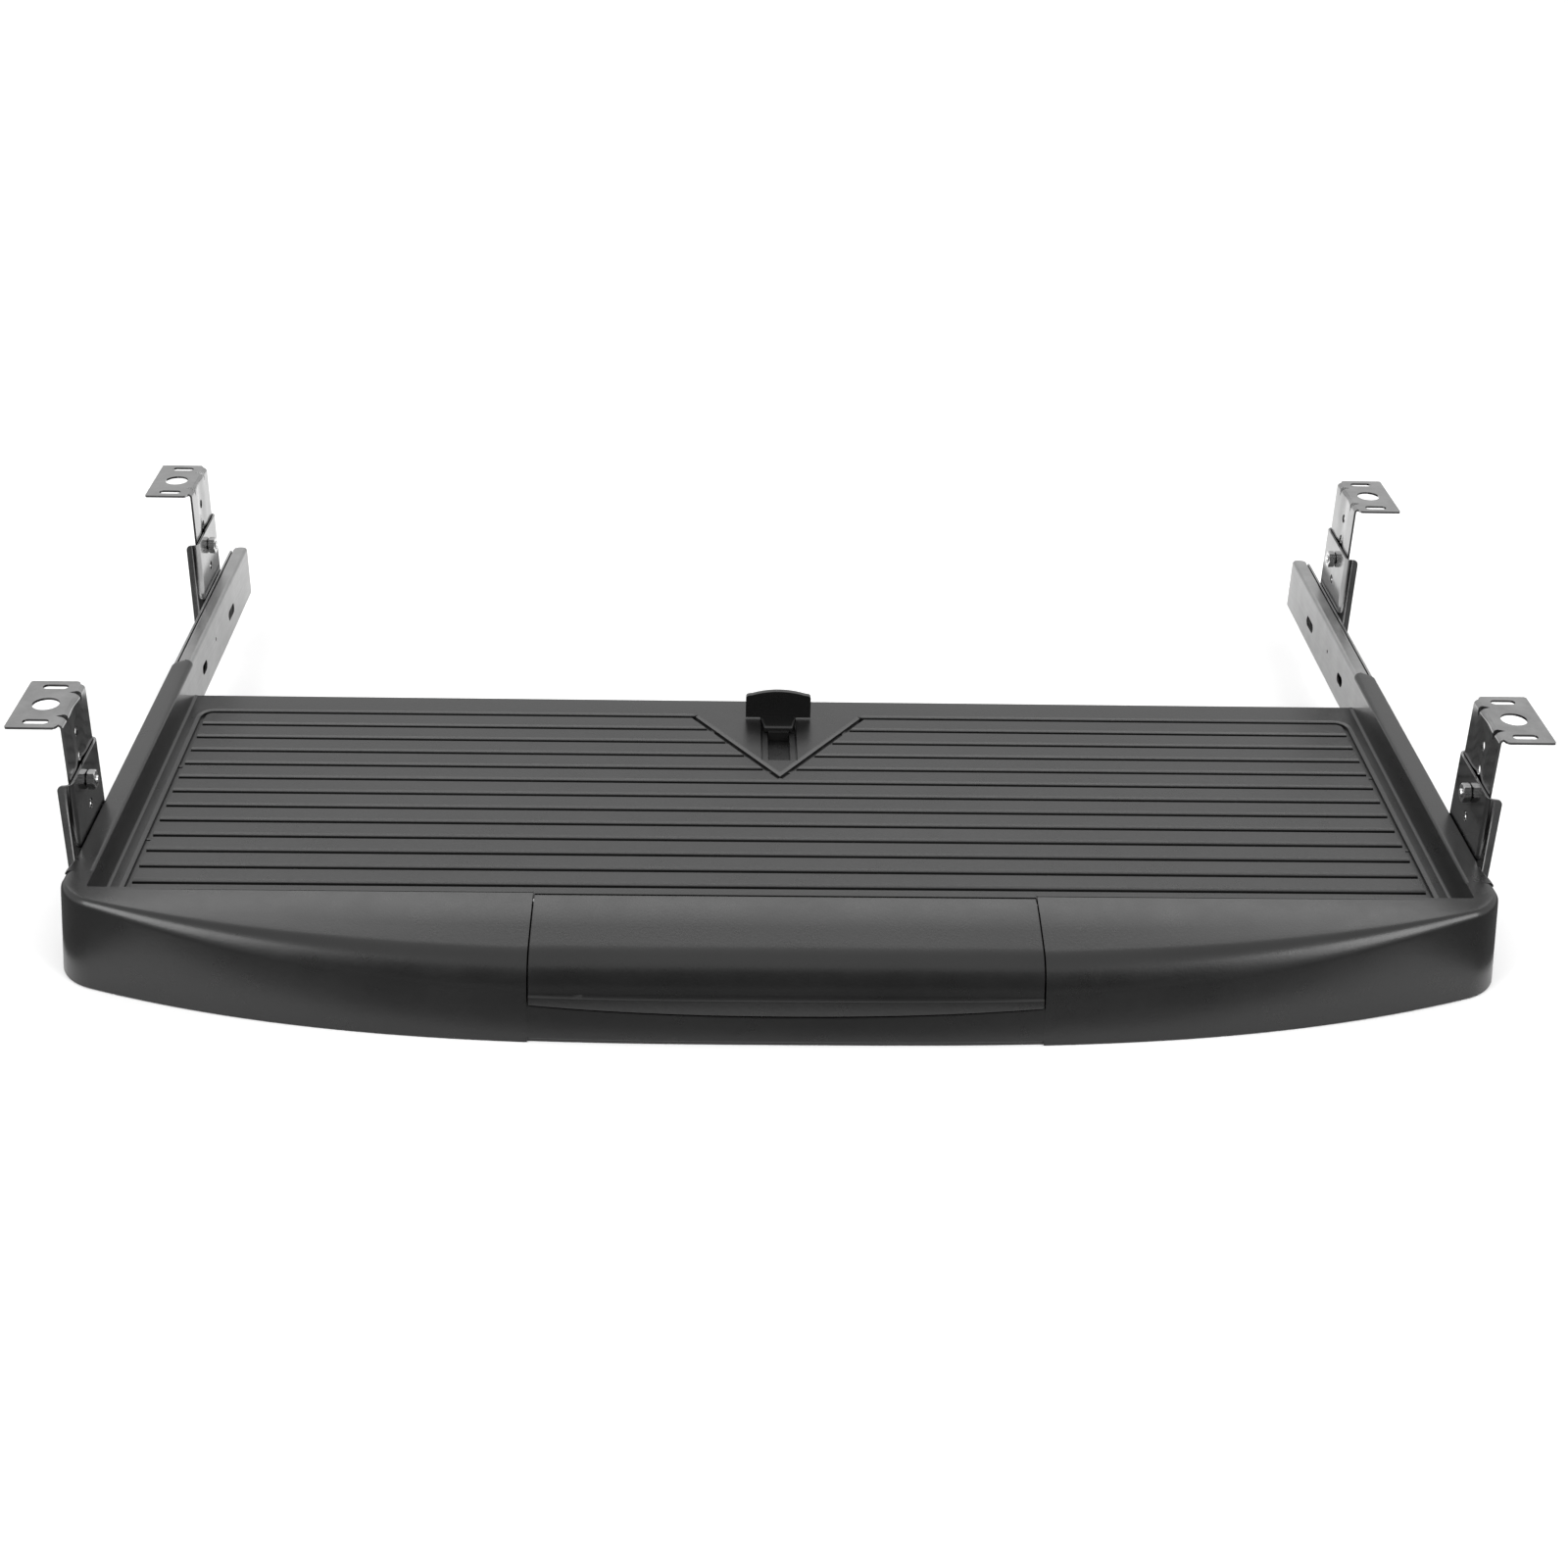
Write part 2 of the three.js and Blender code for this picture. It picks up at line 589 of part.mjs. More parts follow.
function drawerRail(side) {
  const [inner, outer, top, low] = [RAIL_INNER, RAIL_OUTER, RAIL_TOP, RAIL_BOTTOM];
  const lip = 2.4;
  const half = [
    [outer, lip],
    [outer, 0.9],
    [outer - 0.8, 0],
    [inner + 1.7, 0],
    [inner + 0.5, 0.5],
    [inner, 1.7],
  ];
  const innerHalf = [
    [inner + SHEET, 2.1],
    [inner + SHEET + 0.9, SHEET],
    [outer - SHEET, SHEET],
    [outer - SHEET, lip],
  ];
  const upper = (points) => points.map(([x, down]) => [side * x, top - down]);
  const lower = (points) => points.map(([x, up]) => [side * x, low + up]).reverse();
  const outline = [...upper(half), ...lower(half), ...lower(innerHalf), ...upper(innerHalf)];
  const rail = extrude('y', outline, RAIL_FRONT, RAIL_BACK);
  const web = [side * (inner - 1), side * (inner + SHEET + 1)];
  const cutters = [
    extrude('x', oblong(295, -3.7, 7, 2.5), ...web),
    extrude('x', oblong(229.5, -3.2, 5, 2.5), ...web),
    rod('x', 257, -1, 1, ...web, 8),
    ...SCREW_YS.map((y) => rod('x', y, SCREW_Z, SCREW_RADIUS + 0.4, ...web)),
  ];
  const [near, far] = [side * (inner + 0.2), side * (outer - 0.2)];
  const frontTab = box(near, far, RAIL_FRONT, RAIL_FRONT + SHEET, -10, 5);
  return cutAll(rail.add(frontTab), cutters);
}

function fixedRail(side) {
  const outline = [
    [FIXED_INNER, FIXED_TOP],
    [FIXED_OUTER - SHEET, FIXED_TOP],
    [FIXED_OUTER - SHEET, UPSTAND_TOP],
    [FIXED_OUTER, UPSTAND_TOP],
    [FIXED_OUTER, FIXED_BOTTOM + 0.8],
    [FIXED_OUTER - 0.8, FIXED_BOTTOM],
    [FIXED_INNER, FIXED_BOTTOM],
    [FIXED_INNER, FIXED_BOTTOM + SHEET],
    [FIXED_OUTER - SHEET, FIXED_BOTTOM + SHEET],
    [FIXED_OUTER - SHEET, FIXED_TOP - SHEET],
    [FIXED_INNER, FIXED_TOP - SHEET],
  ].map(([x, z]) => [side * x, z]);
  const rail = extrude('y', outline, FIXED_FRONT, FIXED_BACK);
  const web = [side * (FIXED_OUTER - 3), side * (FIXED_OUTER + 1)];
  const holes = rivetYs().map((y) => rod('x', y, RIVET_Z, RIVET_SHANK + CLEAR, ...web));
  return cutAll(rail, holes);
}

function closingBumper(side) {
  const [near, far] = [FIXED_INNER + 0.6, FIXED_OUTER - SHEET - CLEAR];
  const outline = rectangle(RAIL_FRONT + SHEET + CLEAR, 22, -8, 3, 1.5);
  return extrude('x', outline, side * near, side * far);
}

// One strip of balls, above or below the fixed rail.
function ballCage(side, height) {
  const [near, far] = [side * (BALL_X - 1.8), side * (BALL_X + 1.4)];
  const strip = box(near, far, CAGE_FRONT, CAGE_BACK, height - 0.4, height + 0.4);
  const pitch = (CAGE_BACK - CAGE_FRONT) / BALLS_PER_CAGE;
  const balls = [];
  for (let i = 0; i < BALLS_PER_CAGE; i++) {
    const ball = new THREE.SphereGeometry(BALL, 6, 4);
    ball.rotateX(Math.PI / 2);
    ball.translate(side * BALL_X, CAGE_FRONT + pitch * (i + 0.5), height);
    balls.push(toSolid(ball));
  }
  return addAll([strip, ...balls]);
}

const CAGE_HEIGHTS = {
  upper: (RAIL_TOP - SHEET + FIXED_TOP) / 2,
  lower: (RAIL_BOTTOM + SHEET + FIXED_BOTTOM) / 2,
};

function trayScrew(side, y) {
  const headFrom = RAIL_INNER + SHEET + CLEAR;
  const tip = SIDE_OUTER - SCREW_DEPTH + CLEAR;
  const head = rod('x', y, SCREW_Z, 3, side * headFrom, side * (headFrom + 1.4));
  const shank = rod('x', y, SCREW_Z, SCREW_RADIUS, side * tip, side * (headFrom + 0.5));
  return head.add(shank);
}

// ---------------------------------------------------------------- brackets

function holeHeights() {
  return Array.from({ length: HOLE_COUNT }, (_, i) => HOLE_TOP - i * HOLE_PITCH);
}

function rivetYs() {
  return Object.values(BRACKET_YS).flatMap((y) => [y - RIVET_OFFSET, y + RIVET_OFFSET]);
}

const HOLE_RADIUS = 2.2;
const DESK_HOLE = 5.4;           // the round hole in the desk plate
const SLOT_OFFSET = 15.4;        // the plate's two oblong holes
const DISH = 0.5;                // the leg is dished outward between its two ribs
const DISH_HALF = 9;

function dish(y) {
  if (Math.abs(y) >= DISH_HALF) return 0;
  return DISH * Math.cos(((Math.PI / 2) * y) / DISH_HALF) ** 2;
}

// The plate that is screwed to the desk and the leg that hangs from its inner edge.
function upperBracket(side, y) {
  const ys = [-LEG_HALF, -DISH_HALF, -4.5, 0, 4.5, DISH_HALF, LEG_HALF];
  const loops = ys.map((offset) => {
    const inner = LEG_INNER + dish(offset);
    return [
      [inner, LEG_BOTTOM],
      ...arc(inner + 2, PLATE_TOP - 2, 2, 180, 90, 3),
      [LEG_INNER + 6, PLATE_TOP],
      [LEG_INNER + 6, PLATE_TOP - SHEET],
      ...arc(inner + 2, PLATE_TOP - 2, 2 - SHEET, 90, 180, 3),
      [inner + SHEET, LEG_BOTTOM],
    ].map(([x, z]) => [side * x, y + offset, z]);
  });
  const leg = loft(loops, (p) => [p[0], p[2]]);
  const flip = ([x, v]) => [side * x, v];
  const outline = rectangle(LEG_INNER + 1.9, PLATE_OUTER, y - PLATE_HALF, y + PLATE_HALF, 1.2, 2);
  const plate = extrude('z', outline.map(flip), PLATE_TOP - SHEET, PLATE_TOP);
  const corner = [LEG_INNER + SHEET - 0.4, PLATE_TOP - SHEET + 0.4];
  const rib = [corner, [corner[0] + 4, corner[1]], [corner[0], corner[1] - 4]].map(flip);
  const ribs = [-10.5, 10.5].map((offset) => {
    return extrude('y', rib, y + offset - 0.8, y + offset + 0.8);
  });
  const middle = side * ((LEG_INNER + PLATE_OUTER) / 2);
  const through = [PLATE_TOP - 3, PLATE_TOP + 1];
  const deskHoles = [
    rod('z', middle, y, DESK_HOLE, ...through, 16),
    ...[-SLOT_OFFSET, SLOT_OFFSET].map((offset) => {
      return extrude('z', oblong(middle, y + offset, 5.15, 1.95), ...through);
    }),
  ];
  const legHoles = holeHeights().map((z) => {
    return rod('x', y, z, HOLE_RADIUS, side * (LEG_INNER - 1), side * (LEG_INNER + 4));
  });
  return cutAll(addAll([leg, plate, ...ribs]), [...deskHoles, ...legHoles]);
}

// The channel that wraps the leg and carries the fixed rail.
function lowerBracket(side, y) {
  const centre = HOOK_INNER + BEND;
  const flat = HOOK_HALF - BEND;
  const plan = [
    [HOOK_OUTER, -HOOK_HALF],
    ...arc(centre, -flat, BEND, 270, 180, 4),
    ...arc(centre, flat, BEND, 180, 90, 4),
    [HOOK_OUTER, HOOK_HALF],
    [HOOK_OUTER, HOOK_HALF - SHEET],
    ...arc(centre, flat, BEND - SHEET, 90, 180, 4),
    ...arc(centre, -flat, BEND - SHEET, 180, 270, 4),
    [HOOK_OUTER, -HOOK_HALF + SHEET],
  ].map(([x, v]) => [side * x, y + v]);
  const channel = extrude('z', plan, HOOK_BOTTOM, HOOK_TOP);
  const front = [
    [HOOK_INNER - 1, HOOK_BOTTOM - 1],
    ...arc(HOOK_OUTER - 2.2, HOOK_BOTTOM + 2.2, 2.2, -90, 0, 3),
    ...arc(HOOK_OUTER - 2.2, HOOK_TOP - 2.2, 2.2, 0, 90, 3),
    [HOOK_INNER - 1, HOOK_TOP + 1],
  ].map(([x, z]) => [side * x, z]);
  const rounded = channel.intersect(extrude('y', front, y - 30, y + 30));
  const web = [side * (HOOK_INNER - 1), side * (HOOK_INNER + SHEET + 1)];
  const [bolted, spare] = holeHeights().slice(BOLT_HOLE);
  return cutAll(rounded, [
    rod('x', y, bolted, HOLE_RADIUS, ...web),
    rod('x', y, spare, HOLE_RADIUS, ...web),
    ...[-RIVET_OFFSET, RIVET_OFFSET].map((offset) => {
      return rod('x', y + offset, RIVET_Z, RIVET_SHANK + CLEAR, ...web);
    }),
  ]);
}

function heightBolt(side, y) {
  const z = holeHeights()[BOLT_HOLE];
  const headFrom = LEG_INNER + DISH + SHEET + CLEAR;
  const headTo = headFrom + BOLT_HEAD_THICK;
  const head = rod('x', y, z, BOLT_HEAD, side * headFrom, side * headTo, 12);
  const tip = side * (HOOK_INNER - BOLT_REACH);
  const shank = rod('x', y, z, BOLT_SHANK, tip, side * (headFrom + JOIN));
  const [near, far] = [side * (headTo - 1), side * (headTo + JOIN)];
  const recess = [
    box(near, far, y - 2, y + 2, z - 0.5, z + 0.5),
    box(near, far, y - 0.5, y + 0.5, z - 2, z + 2),
  ];
  return cutAll(head.add(shank), recess);
}

function heightNut(side, y) {
  const z = holeHeights()[BOLT_HOLE];
  const face = HOOK_INNER - CLEAR;
  const hexagon = rod('x', y, z, NUT_RADIUS, side * face, side * (face - NUT_THICK), 6);
  const [outside, inside] = [side * (face + JOIN), side * (face - NUT_THICK - JOIN)];
  return hexagon.subtract(rod('x', y, z, BOLT_SHANK + CLEAR, outside, inside));
}

function rivet(side, y) {
  const inner = FIXED_OUTER - SHEET - CLEAR;
  const outer = HOOK_INNER + SHEET + CLEAR;
  const shank = rod('x', y, RIVET_Z, RIVET_SHANK, side * (inner - 0.6), side * (outer + 0.6));
  const innerHead = rod('x', y, RIVET_Z, RIVET_HEAD, side * inner, side * (inner - 0.9));
  const outerHead = rod('x', y, RIVET_Z, RIVET_HEAD, side * outer, side * (outer + 1));
  return addAll([shank, innerHead, outerHead]);
}

// ---------------------------------------------------------------- assembly

function finish(color, roughness, metalness) {
  return new THREE.MeshStandardMaterial({ color, roughness, metalness });
}

const blackPlastic = finish(0x1b1b1c, 0.5, 0);
const glossPlastic = finish(0x0c0c0d, 0.28, 0);
const zincSteel = finish(0xa9abad, 0.3, 1);
const ballSteel = finish(0xc8cacc, 0.12, 1);
const darkRubber = finish(0x151515, 0.9, 0);

const group = new THREE.Group();

function place(name, solid, material) {
  const mesh = new THREE.Mesh(toGeometry(solid), material);
  mesh.name = name;
  group.add(mesh);
}

place('tray_shell', trayShell(), blackPlastic);
place('pen_lid', penLid(), blackPlastic);
place('keyboard_stop', keyboardStop(), glossPlastic);

for (const [hand, side] of Object.entries(SIDES)) {
  place(`lid_hinge_pin_${hand}`, hingePin(side), zincSteel);
  place(`drawer_rail_${hand}`, drawerRail(side), zincSteel);
  place(`fixed_rail_${hand}`, fixedRail(side), zincSteel);
  place(`closing_bumper_${hand}`, closingBumper(side), darkRubber);
  for (const [level, height] of Object.entries(CAGE_HEIGHTS)) {
    place(`ball_cage_${level}_${hand}`, ballCage(side, height), ballSteel);
  }
  SCREW_YS.forEach((y, i) => place(`tray_screw_${i + 1}_${hand}`, trayScrew(side, y), zincSteel));
  for (const [end, y] of Object.entries(BRACKET_YS)) {
    place(`upper_bracket_${end}_${hand}`, upperBracket(side, y), zincSteel);
    place(`lower_bracket_${end}_${hand}`, lowerBracket(side, y), zincSteel);
    place(`height_bolt_${end}_${hand}`, heightBolt(side, y), zincSteel);
    place(`height_nut_${end}_${hand}`, heightNut(side, y), zincSteel);
    for (const [way, offset] of [['a', -RIVET_OFFSET], ['b', RIVET_OFFSET]]) {
      place(`rail_rivet_${end}_${way}_${hand}`, rivet(side, y + offset), zincSteel);
    }
  }
}

group.position.set(0, (REST_FRONT - RAIL_BACK) / 2, SKIRT_DEPTH);

export default group;
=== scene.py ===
"""Under desk keyboard drawer: the visual model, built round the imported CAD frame.

Shapes are drawn in millimetres, in the drawing frame of the part: x = 0 is the middle, y = 0 the
rear top edge of the palm rest and z = 0 the top of the tray's floor. place() moves a point from
there into the row frame, in metres.
"""
import math

import bmesh
import bpy
from mathutils import Matrix, Vector


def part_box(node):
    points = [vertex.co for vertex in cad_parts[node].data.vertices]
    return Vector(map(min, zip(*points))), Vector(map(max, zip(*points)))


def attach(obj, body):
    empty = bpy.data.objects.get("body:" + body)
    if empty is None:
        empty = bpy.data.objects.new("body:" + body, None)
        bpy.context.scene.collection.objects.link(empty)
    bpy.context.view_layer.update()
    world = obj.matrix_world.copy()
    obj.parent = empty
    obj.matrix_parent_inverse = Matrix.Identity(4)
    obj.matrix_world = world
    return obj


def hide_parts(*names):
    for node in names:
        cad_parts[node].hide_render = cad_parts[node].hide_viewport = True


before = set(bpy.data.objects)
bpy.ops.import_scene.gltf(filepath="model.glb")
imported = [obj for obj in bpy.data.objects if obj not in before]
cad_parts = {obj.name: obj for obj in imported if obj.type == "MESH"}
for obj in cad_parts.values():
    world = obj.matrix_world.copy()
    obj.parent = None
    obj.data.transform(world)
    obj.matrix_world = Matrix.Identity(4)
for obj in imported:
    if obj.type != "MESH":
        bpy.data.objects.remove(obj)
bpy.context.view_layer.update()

MM = 0.001
SIDES = {"left": -1, "right": 1}

# The tray.
REST_FRONT = 49.8
REST_BOW = 40.3
REST_HEIGHT = 13
REST_SIDE_END = 12
FRONT_HALF = 285
SKIRT_DEPTH = 26
BAY_HALF = 272.5
BAY_BACK = 193.5
CORNER_HALF = 289
CORNER_RADIUS = 23.6
CORNER_FROM = -68
EDGE_ROUND = 1.5
WALL = 2.5
FLOOR = 2.5
CAP_THICK = 1.8
CAP_INNER = 274.1
CAP_OUTER = 283.8
CAP_BACK = 204.5
CAP_ROUND = {"inner": 3.5, "outer": 5.5}
SIDE_OUTER = 275.3
WALL_SLANT = 26
DRAFT = 3.6
SHALLOW = 14

# The floor's grooves and the stop's track.
GROOVE_COUNT = 13
GROOVE_BACK = 177
GROOVE_PITCH = 12.64
GROOVE_SIDE = 265.2
GROOVE_DEPTH = 1.7
GROOVE_CORNER = 5
ARROW_HALF = 39
ARROW_TIP = 118.7
TRACK_HALF = 8.2
TRACK_FRONT = 134.5
TRACK_BACK = 178.5
TRACK_DEPTH = 1.4
SLOT_HALF = 5
SLOT_BACK = 170
SLOT_DEPTH = 4.6
UNDERCUT_HALF = 6.6
UNDERCUT_TOP = -2.9
STOP_BACK = 177
STOP_THICK = 2.6
STOP_HALF = 15
STOP_HEIGHT = 14.4

# The lid of the pen compartment.
LID_HALF = 98.6
LID_GAP = 0.7
LID_THICK = 2.2
LID_PROUD = 0.4
HINGE_Y = -3.2
HINGE_Z = 9.4
BARREL = 4
PEN_FLOOR = -20
LIP_TOP = -6.8
LIP_OUT = 0.7
PIN_RADIUS = 1.4

# Slides and brackets.
SHEET = 1
CLEAR = 0.3
RAIL_TOP = 11
RAIL_BOTTOM = -16
RAIL_INNER = 275.6
RAIL_OUTER = 282.3
RAIL_FRONT = 13
RAIL_BACK = 344
FIXED_FRONT = 15
FIXED_BACK = 340
FIXED_INNER = 278.6
FIXED_OUTER = 283.6
FIXED_TOP = 6.4
FIXED_BOTTOM = -11.4
UPSTAND_TOP = 10.9
BALL = 1.45
BALL_X = 279.4
CAGE_FRONT = 126
CAGE_BACK = 226
BALLS_PER_CAGE = 8
SCREW_YS = (30, 110, 184)
SCREW_Z = -5.2
SCREW_RADIUS = 1.5
SCREW_DEPTH = 8
PLATE_TOP = 66.2
PLATE_OUTER = 307.4
PLATE_HALF = 20.55
LEG_INNER = 285.2
LEG_HALF = 18
LEG_BOTTOM = 12
HOOK_INNER = 283.9
HOOK_OUTER = 289.9
HOOK_HALF = 21.7
HOOK_TOP = 40.5
HOOK_BOTTOM = -14
BEND = 3.6
HOLES = (53.9, 42.9, 31.9, 20.9)
BOLT_Z = HOLES[2]
HOLE_RADIUS = 2.2
DISH = 0.5
DISH_HALF = 9
BRACKET_YS = {"front": 52.6, "rear": 297.2}
DART_YS = (-10.5, 10.5)
DART_HALF = 1.5
DART_REACH = 4.4
RIVET_OFFSET = 12
RIVET_Z = -2.5
RIVET_SHANK = 1.8
BOLT_SHANK = 1.9
NUT_THICK = 3.2
NUT_RADIUS = 4.1

TRAY_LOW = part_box("tray_shell")[0]
ORIGIN = Vector((0, TRAY_LOW.y + REST_FRONT * MM, TRAY_LOW.z + SKIRT_DEPTH * MM))


def place(point):
    return ORIGIN + Vector(point) * MM


# ---------------------------------------------------------------- camera

FOCAL_SHARE = 1.457125           # focal length over the width of the picture
SENSOR = 36
CAMERA_AT = (-25.153, -769.097, 484.309)
YAW, PITCH, ROLL = 0.0304, 0.5022, -0.0244      # radians


def make_camera():
    data = bpy.data.cameras.new("camera")
    data.sensor_width = SENSOR
    data.lens = FOCAL_SHARE * SENSOR
    data.clip_start, data.clip_end = 0.05, 30
    camera = bpy.data.objects.new("camera", data)
    bpy.context.scene.collection.objects.link(camera)
    forward = Vector((
        math.sin(YAW) * math.cos(PITCH),
        math.cos(YAW) * math.cos(PITCH),
        -math.sin(PITCH),
    ))
    level = Vector((math.cos(YAW), -math.sin(YAW), 0))
    down = forward.cross(level)
    right = level * math.cos(ROLL) + down * math.sin(ROLL)
    up = level * math.sin(ROLL) - down * math.cos(ROLL)
    turn = Matrix((right, up, -forward)).transposed().to_4x4()
    camera.matrix_world = Matrix.Translation(place(CAMERA_AT)) @ turn
    bpy.context.scene.camera = camera


make_camera()


# ---------------------------------------------------------------- materials

def node_material(name):
    material = bpy.data.materials.new(name)
    material.use_nodes = True
    nodes = material.node_tree.nodes
    shader = next(n for n in nodes if n.type == "BSDF_PRINCIPLED")
    return material, nodes, material.node_tree.links, shader


def coordinates(nodes, links, stretch=(1, 1, 1)):
    source = nodes.new("ShaderNodeTexCoord")
    mapping = nodes.new("ShaderNodeMapping")
    mapping.inputs["Scale"].default_value = stretch
    links.new(source.outputs["Object"], mapping.inputs["Vector"])
    return mapping.outputs["Vector"]


def noise(nodes, links, vector, scale, detail=3, roughness=0.55):
    texture = nodes.new("ShaderNodeTexNoise")
    texture.inputs["Scale"].default_value = scale
    texture.inputs["Detail"].default_value = detail
    texture.inputs["Roughness"].default_value = roughness
    links.new(vector, texture.inputs["Vector"])
    return texture.outputs["Fac"]


def spread(nodes, links, value, low, high, start=0.3, stop=0.7):
    """value, from start to stop, becomes a number from low to high."""
    node = nodes.new("ShaderNodeMapRange")
    node.inputs["From Min"].default_value = start
    node.inputs["From Max"].default_value = stop
    node.inputs["To Min"].default_value = low
    node.inputs["To Max"].default_value = high
    links.new(value, node.inputs["Value"])
    return node.outputs["Result"]


def tint(nodes, links, value, dark, light, start=0.3, stop=0.7):
    """value, from start to stop, becomes a colour from dark to light."""
    ramp = nodes.new("ShaderNodeValToRGB")
    ramp.color_ramp.elements[0].position = start
    ramp.color_ramp.elements[0].color = (*dark, 1)
    ramp.color_ramp.elements[1].position = stop
    ramp.color_ramp.elements[1].color = (*light, 1)
    links.new(value, ramp.inputs["Fac"])
    return ramp.outputs["Color"]


def bump(nodes, links, height, strength, distance, below=None):
    node = nodes.new("ShaderNodeBump")
    node.inputs["Strength"].default_value = strength
    node.inputs["Distance"].default_value = distance
    links.new(height, node.inputs["Height"])
    if below is not None:
        links.new(below, node.inputs["Normal"])
    return node.outputs["Normal"]


def moulded_plastic(name, dark, light, rough, grain):
    """Black moulding: a fine eroded grain, faint flow marks, and gloss that handling has varied."""
    material, nodes, links, shader = node_material(name)
    vector = coordinates(nodes, links)
    flow = noise(nodes, links, coordinates(nodes, links, (1, 4, 4)), 9, 4)
    links.new(tint(nodes, links, flow, dark, light), shader.inputs["Base Color"])
    patches = noise(nodes, links, vector, 60, 5, 0.7)
    links.new(spread(nodes, links, patches, *rough), shader.inputs["Roughness"])
    fine = noise(nodes, links, vector, 2600, 2)
    coarse = noise(nodes, links, vector, 900, 2)
    normal = bump(nodes, links, coarse, grain, 0.0001)
    links.new(bump(nodes, links, fine, grain, 0.00006, normal), shader.inputs["Normal"])
    shader.inputs["IOR"].default_value = 1.5
    return material


def plated_steel(name, dark, light, rough, along, brush):
    """Zinc plate: cloudy tone, fine rolling marks that run along one axis, and a faint dimple."""
    material, nodes, links, shader = node_material(name)
    shader.inputs["Metallic"].default_value = 1
    vector = coordinates(nodes, links)
    cloud = noise(nodes, links, vector, 75, 5, 0.62)
    links.new(tint(nodes, links, cloud, dark, light), shader.inputs["Base Color"])
    stretch = tuple(0.04 if axis == along else 1 for axis in "xyz")
    lines = noise(nodes, links, coordinates(nodes, links, stretch), 1500, 3)
    links.new(spread(nodes, links, lines, *rough, 0.25, 0.75), shader.inputs["Roughness"])
    normal = bump(nodes, links, noise(nodes, links, vector, 160, 2), 0.1, 0.0002)
    links.new(bump(nodes, links, lines, brush, 0.00003, normal), shader.inputs["Normal"])
    return material


def soft_rubber(name):
    material, nodes, links, shader = node_material(name)
    vector = coordinates(nodes, links)
    bloom = noise(nodes, links, vector, 300, 4)
    links.new(tint(nodes, links, bloom, (0.008,) * 3, (0.02,) * 3), shader.inputs["Base Color"])
    links.new(spread(nodes, links, bloom, 0.75, 0.95), shader.inputs["Roughness"])
    pores = noise(nodes, links, vector, 3000, 2)
    links.new(bump(nodes, links, pores, 0.3, 0.00005), shader.inputs["Normal"])
    return material


TRAY_PLASTIC = moulded_plastic("tray_plastic", (0.005,) * 3, (0.008,) * 3, (0.26, 0.33), 0.3)
STOP_PLASTIC = moulded_plastic("stop_plastic", (0.005,) * 3, (0.008,) * 3, (0.24, 0.34), 0.08)
BRACKET_STEEL = plated_steel("bracket_steel", (0.23,) * 3, (0.32,) * 3, (0.1, 0.2), "z", 0.1)
RAIL_STEEL = plated_steel("rail_steel", (0.25,) * 3, (0.31,) * 3, (0.3, 0.4), "y", 0.12)
FASTENER_STEEL = plated_steel("fastener_steel", (0.55,) * 3, (0.68,) * 3, (0.22, 0.34), "x", 0.05)
BALL_STEEL = plated_steel("ball_steel", (0.7, 0.7, 0.71), (0.8, 0.8, 0.8), (0.05, 0.1), "y", 0.02)
RUBBER = soft_rubber("bumper_rubber")


# ---------------------------------------------------------------- shapes, in millimetres

def arc(u, v, radius, start, stop, steps):
    turns = (math.radians(start + (stop - start) * i / steps) for i in range(steps + 1))
    return [(u + radius * math.cos(a), v + radius * math.sin(a)) for a in turns]


def circle(u, v, radius, sides):
    return arc(u, v, radius, 0, 360, sides)[1:]


def rounded(u0, u1, v0, v1, radius, steps=6):
    corners = ((u1, v0, -90), (u1, v1, 0), (u0, v1, 90), (u0, v0, 180))
    points = []
    for u, v, start in corners:
        cu = u - radius if u == u1 else u + radius
        cv = v - radius if v == v1 else v + radius
        points += arc(cu, cv, radius, start, start + 90, steps)
    return points


def oblong(u, v, half_length, half_width, steps=10):
    reach = half_length - half_width
    right = arc(u + reach, v, half_width, -90, 90, steps)
    return right + arc(u - reach, v, half_width, 90, 270, steps)


def chaikin(points, rounds):
    """Cuts the corners of an open line, rounds times over, and keeps its two ends."""
    for _ in range(rounds):
        cut = [points[0]]
        for a, b in zip(points, points[1:]):
            cut.append(tuple(p * 0.75 + q * 0.25 for p, q in zip(a, b)))
            cut.append(tuple(p * 0.25 + q * 0.75 for p, q in zip(a, b)))
        points = [*cut, points[-1]]
    return points


def resampled(points, count, low):
    """An open line, cut off where it falls below a height, as evenly spaced points."""
    kept = [points[0]]
    for a, b in zip(points, points[1:]):
        if b[1] < low:
            share = (a[1] - low) / (a[1] - b[1])
            kept.append((a[0] + (b[0] - a[0]) * share, low))
            break
        kept.append(b)
    lengths = [0]
    for a, b in zip(kept, kept[1:]):
        lengths.append(lengths[-1] + math.dist(a, b))
    line, at = [], 0
    for i in range(count):
        want = lengths[-1] * i / (count - 1)
        while at < len(kept) - 2 and lengths[at + 1] < want:
            at += 1
        share = (want - lengths[at]) / (lengths[at + 1] - lengths[at])
        line.append(tuple(p + (q - p) * share for p, q in zip(kept[at], kept[at + 1])))
    return line


def loft(loops):
    """A closed solid through loops of equally many points."""
    count = len(loops[0])
    faces = []
    for i in range(len(loops) - 1):
        for j in range(count):
            a, b = i * count + j, i * count + (j + 1) % count
            faces.append((a, b, b + count, a + count))
    faces.append(tuple(range(count)))
    faces.append(tuple(range((len(loops) - 1) * count, len(loops) * count)))
    return [p for loop in loops for p in loop], faces


def along(axis, outline, value):
    if axis == "x":
        return [(value, u, v) for u, v in outline]
    if axis == "y":
        return [(u, value, v) for u, v in outline]
    return [(u, v, value) for u, v in outline]


def prism(axis, outline, start, stop):
    return loft([along(axis, outline, start), along(axis, outline, stop)])


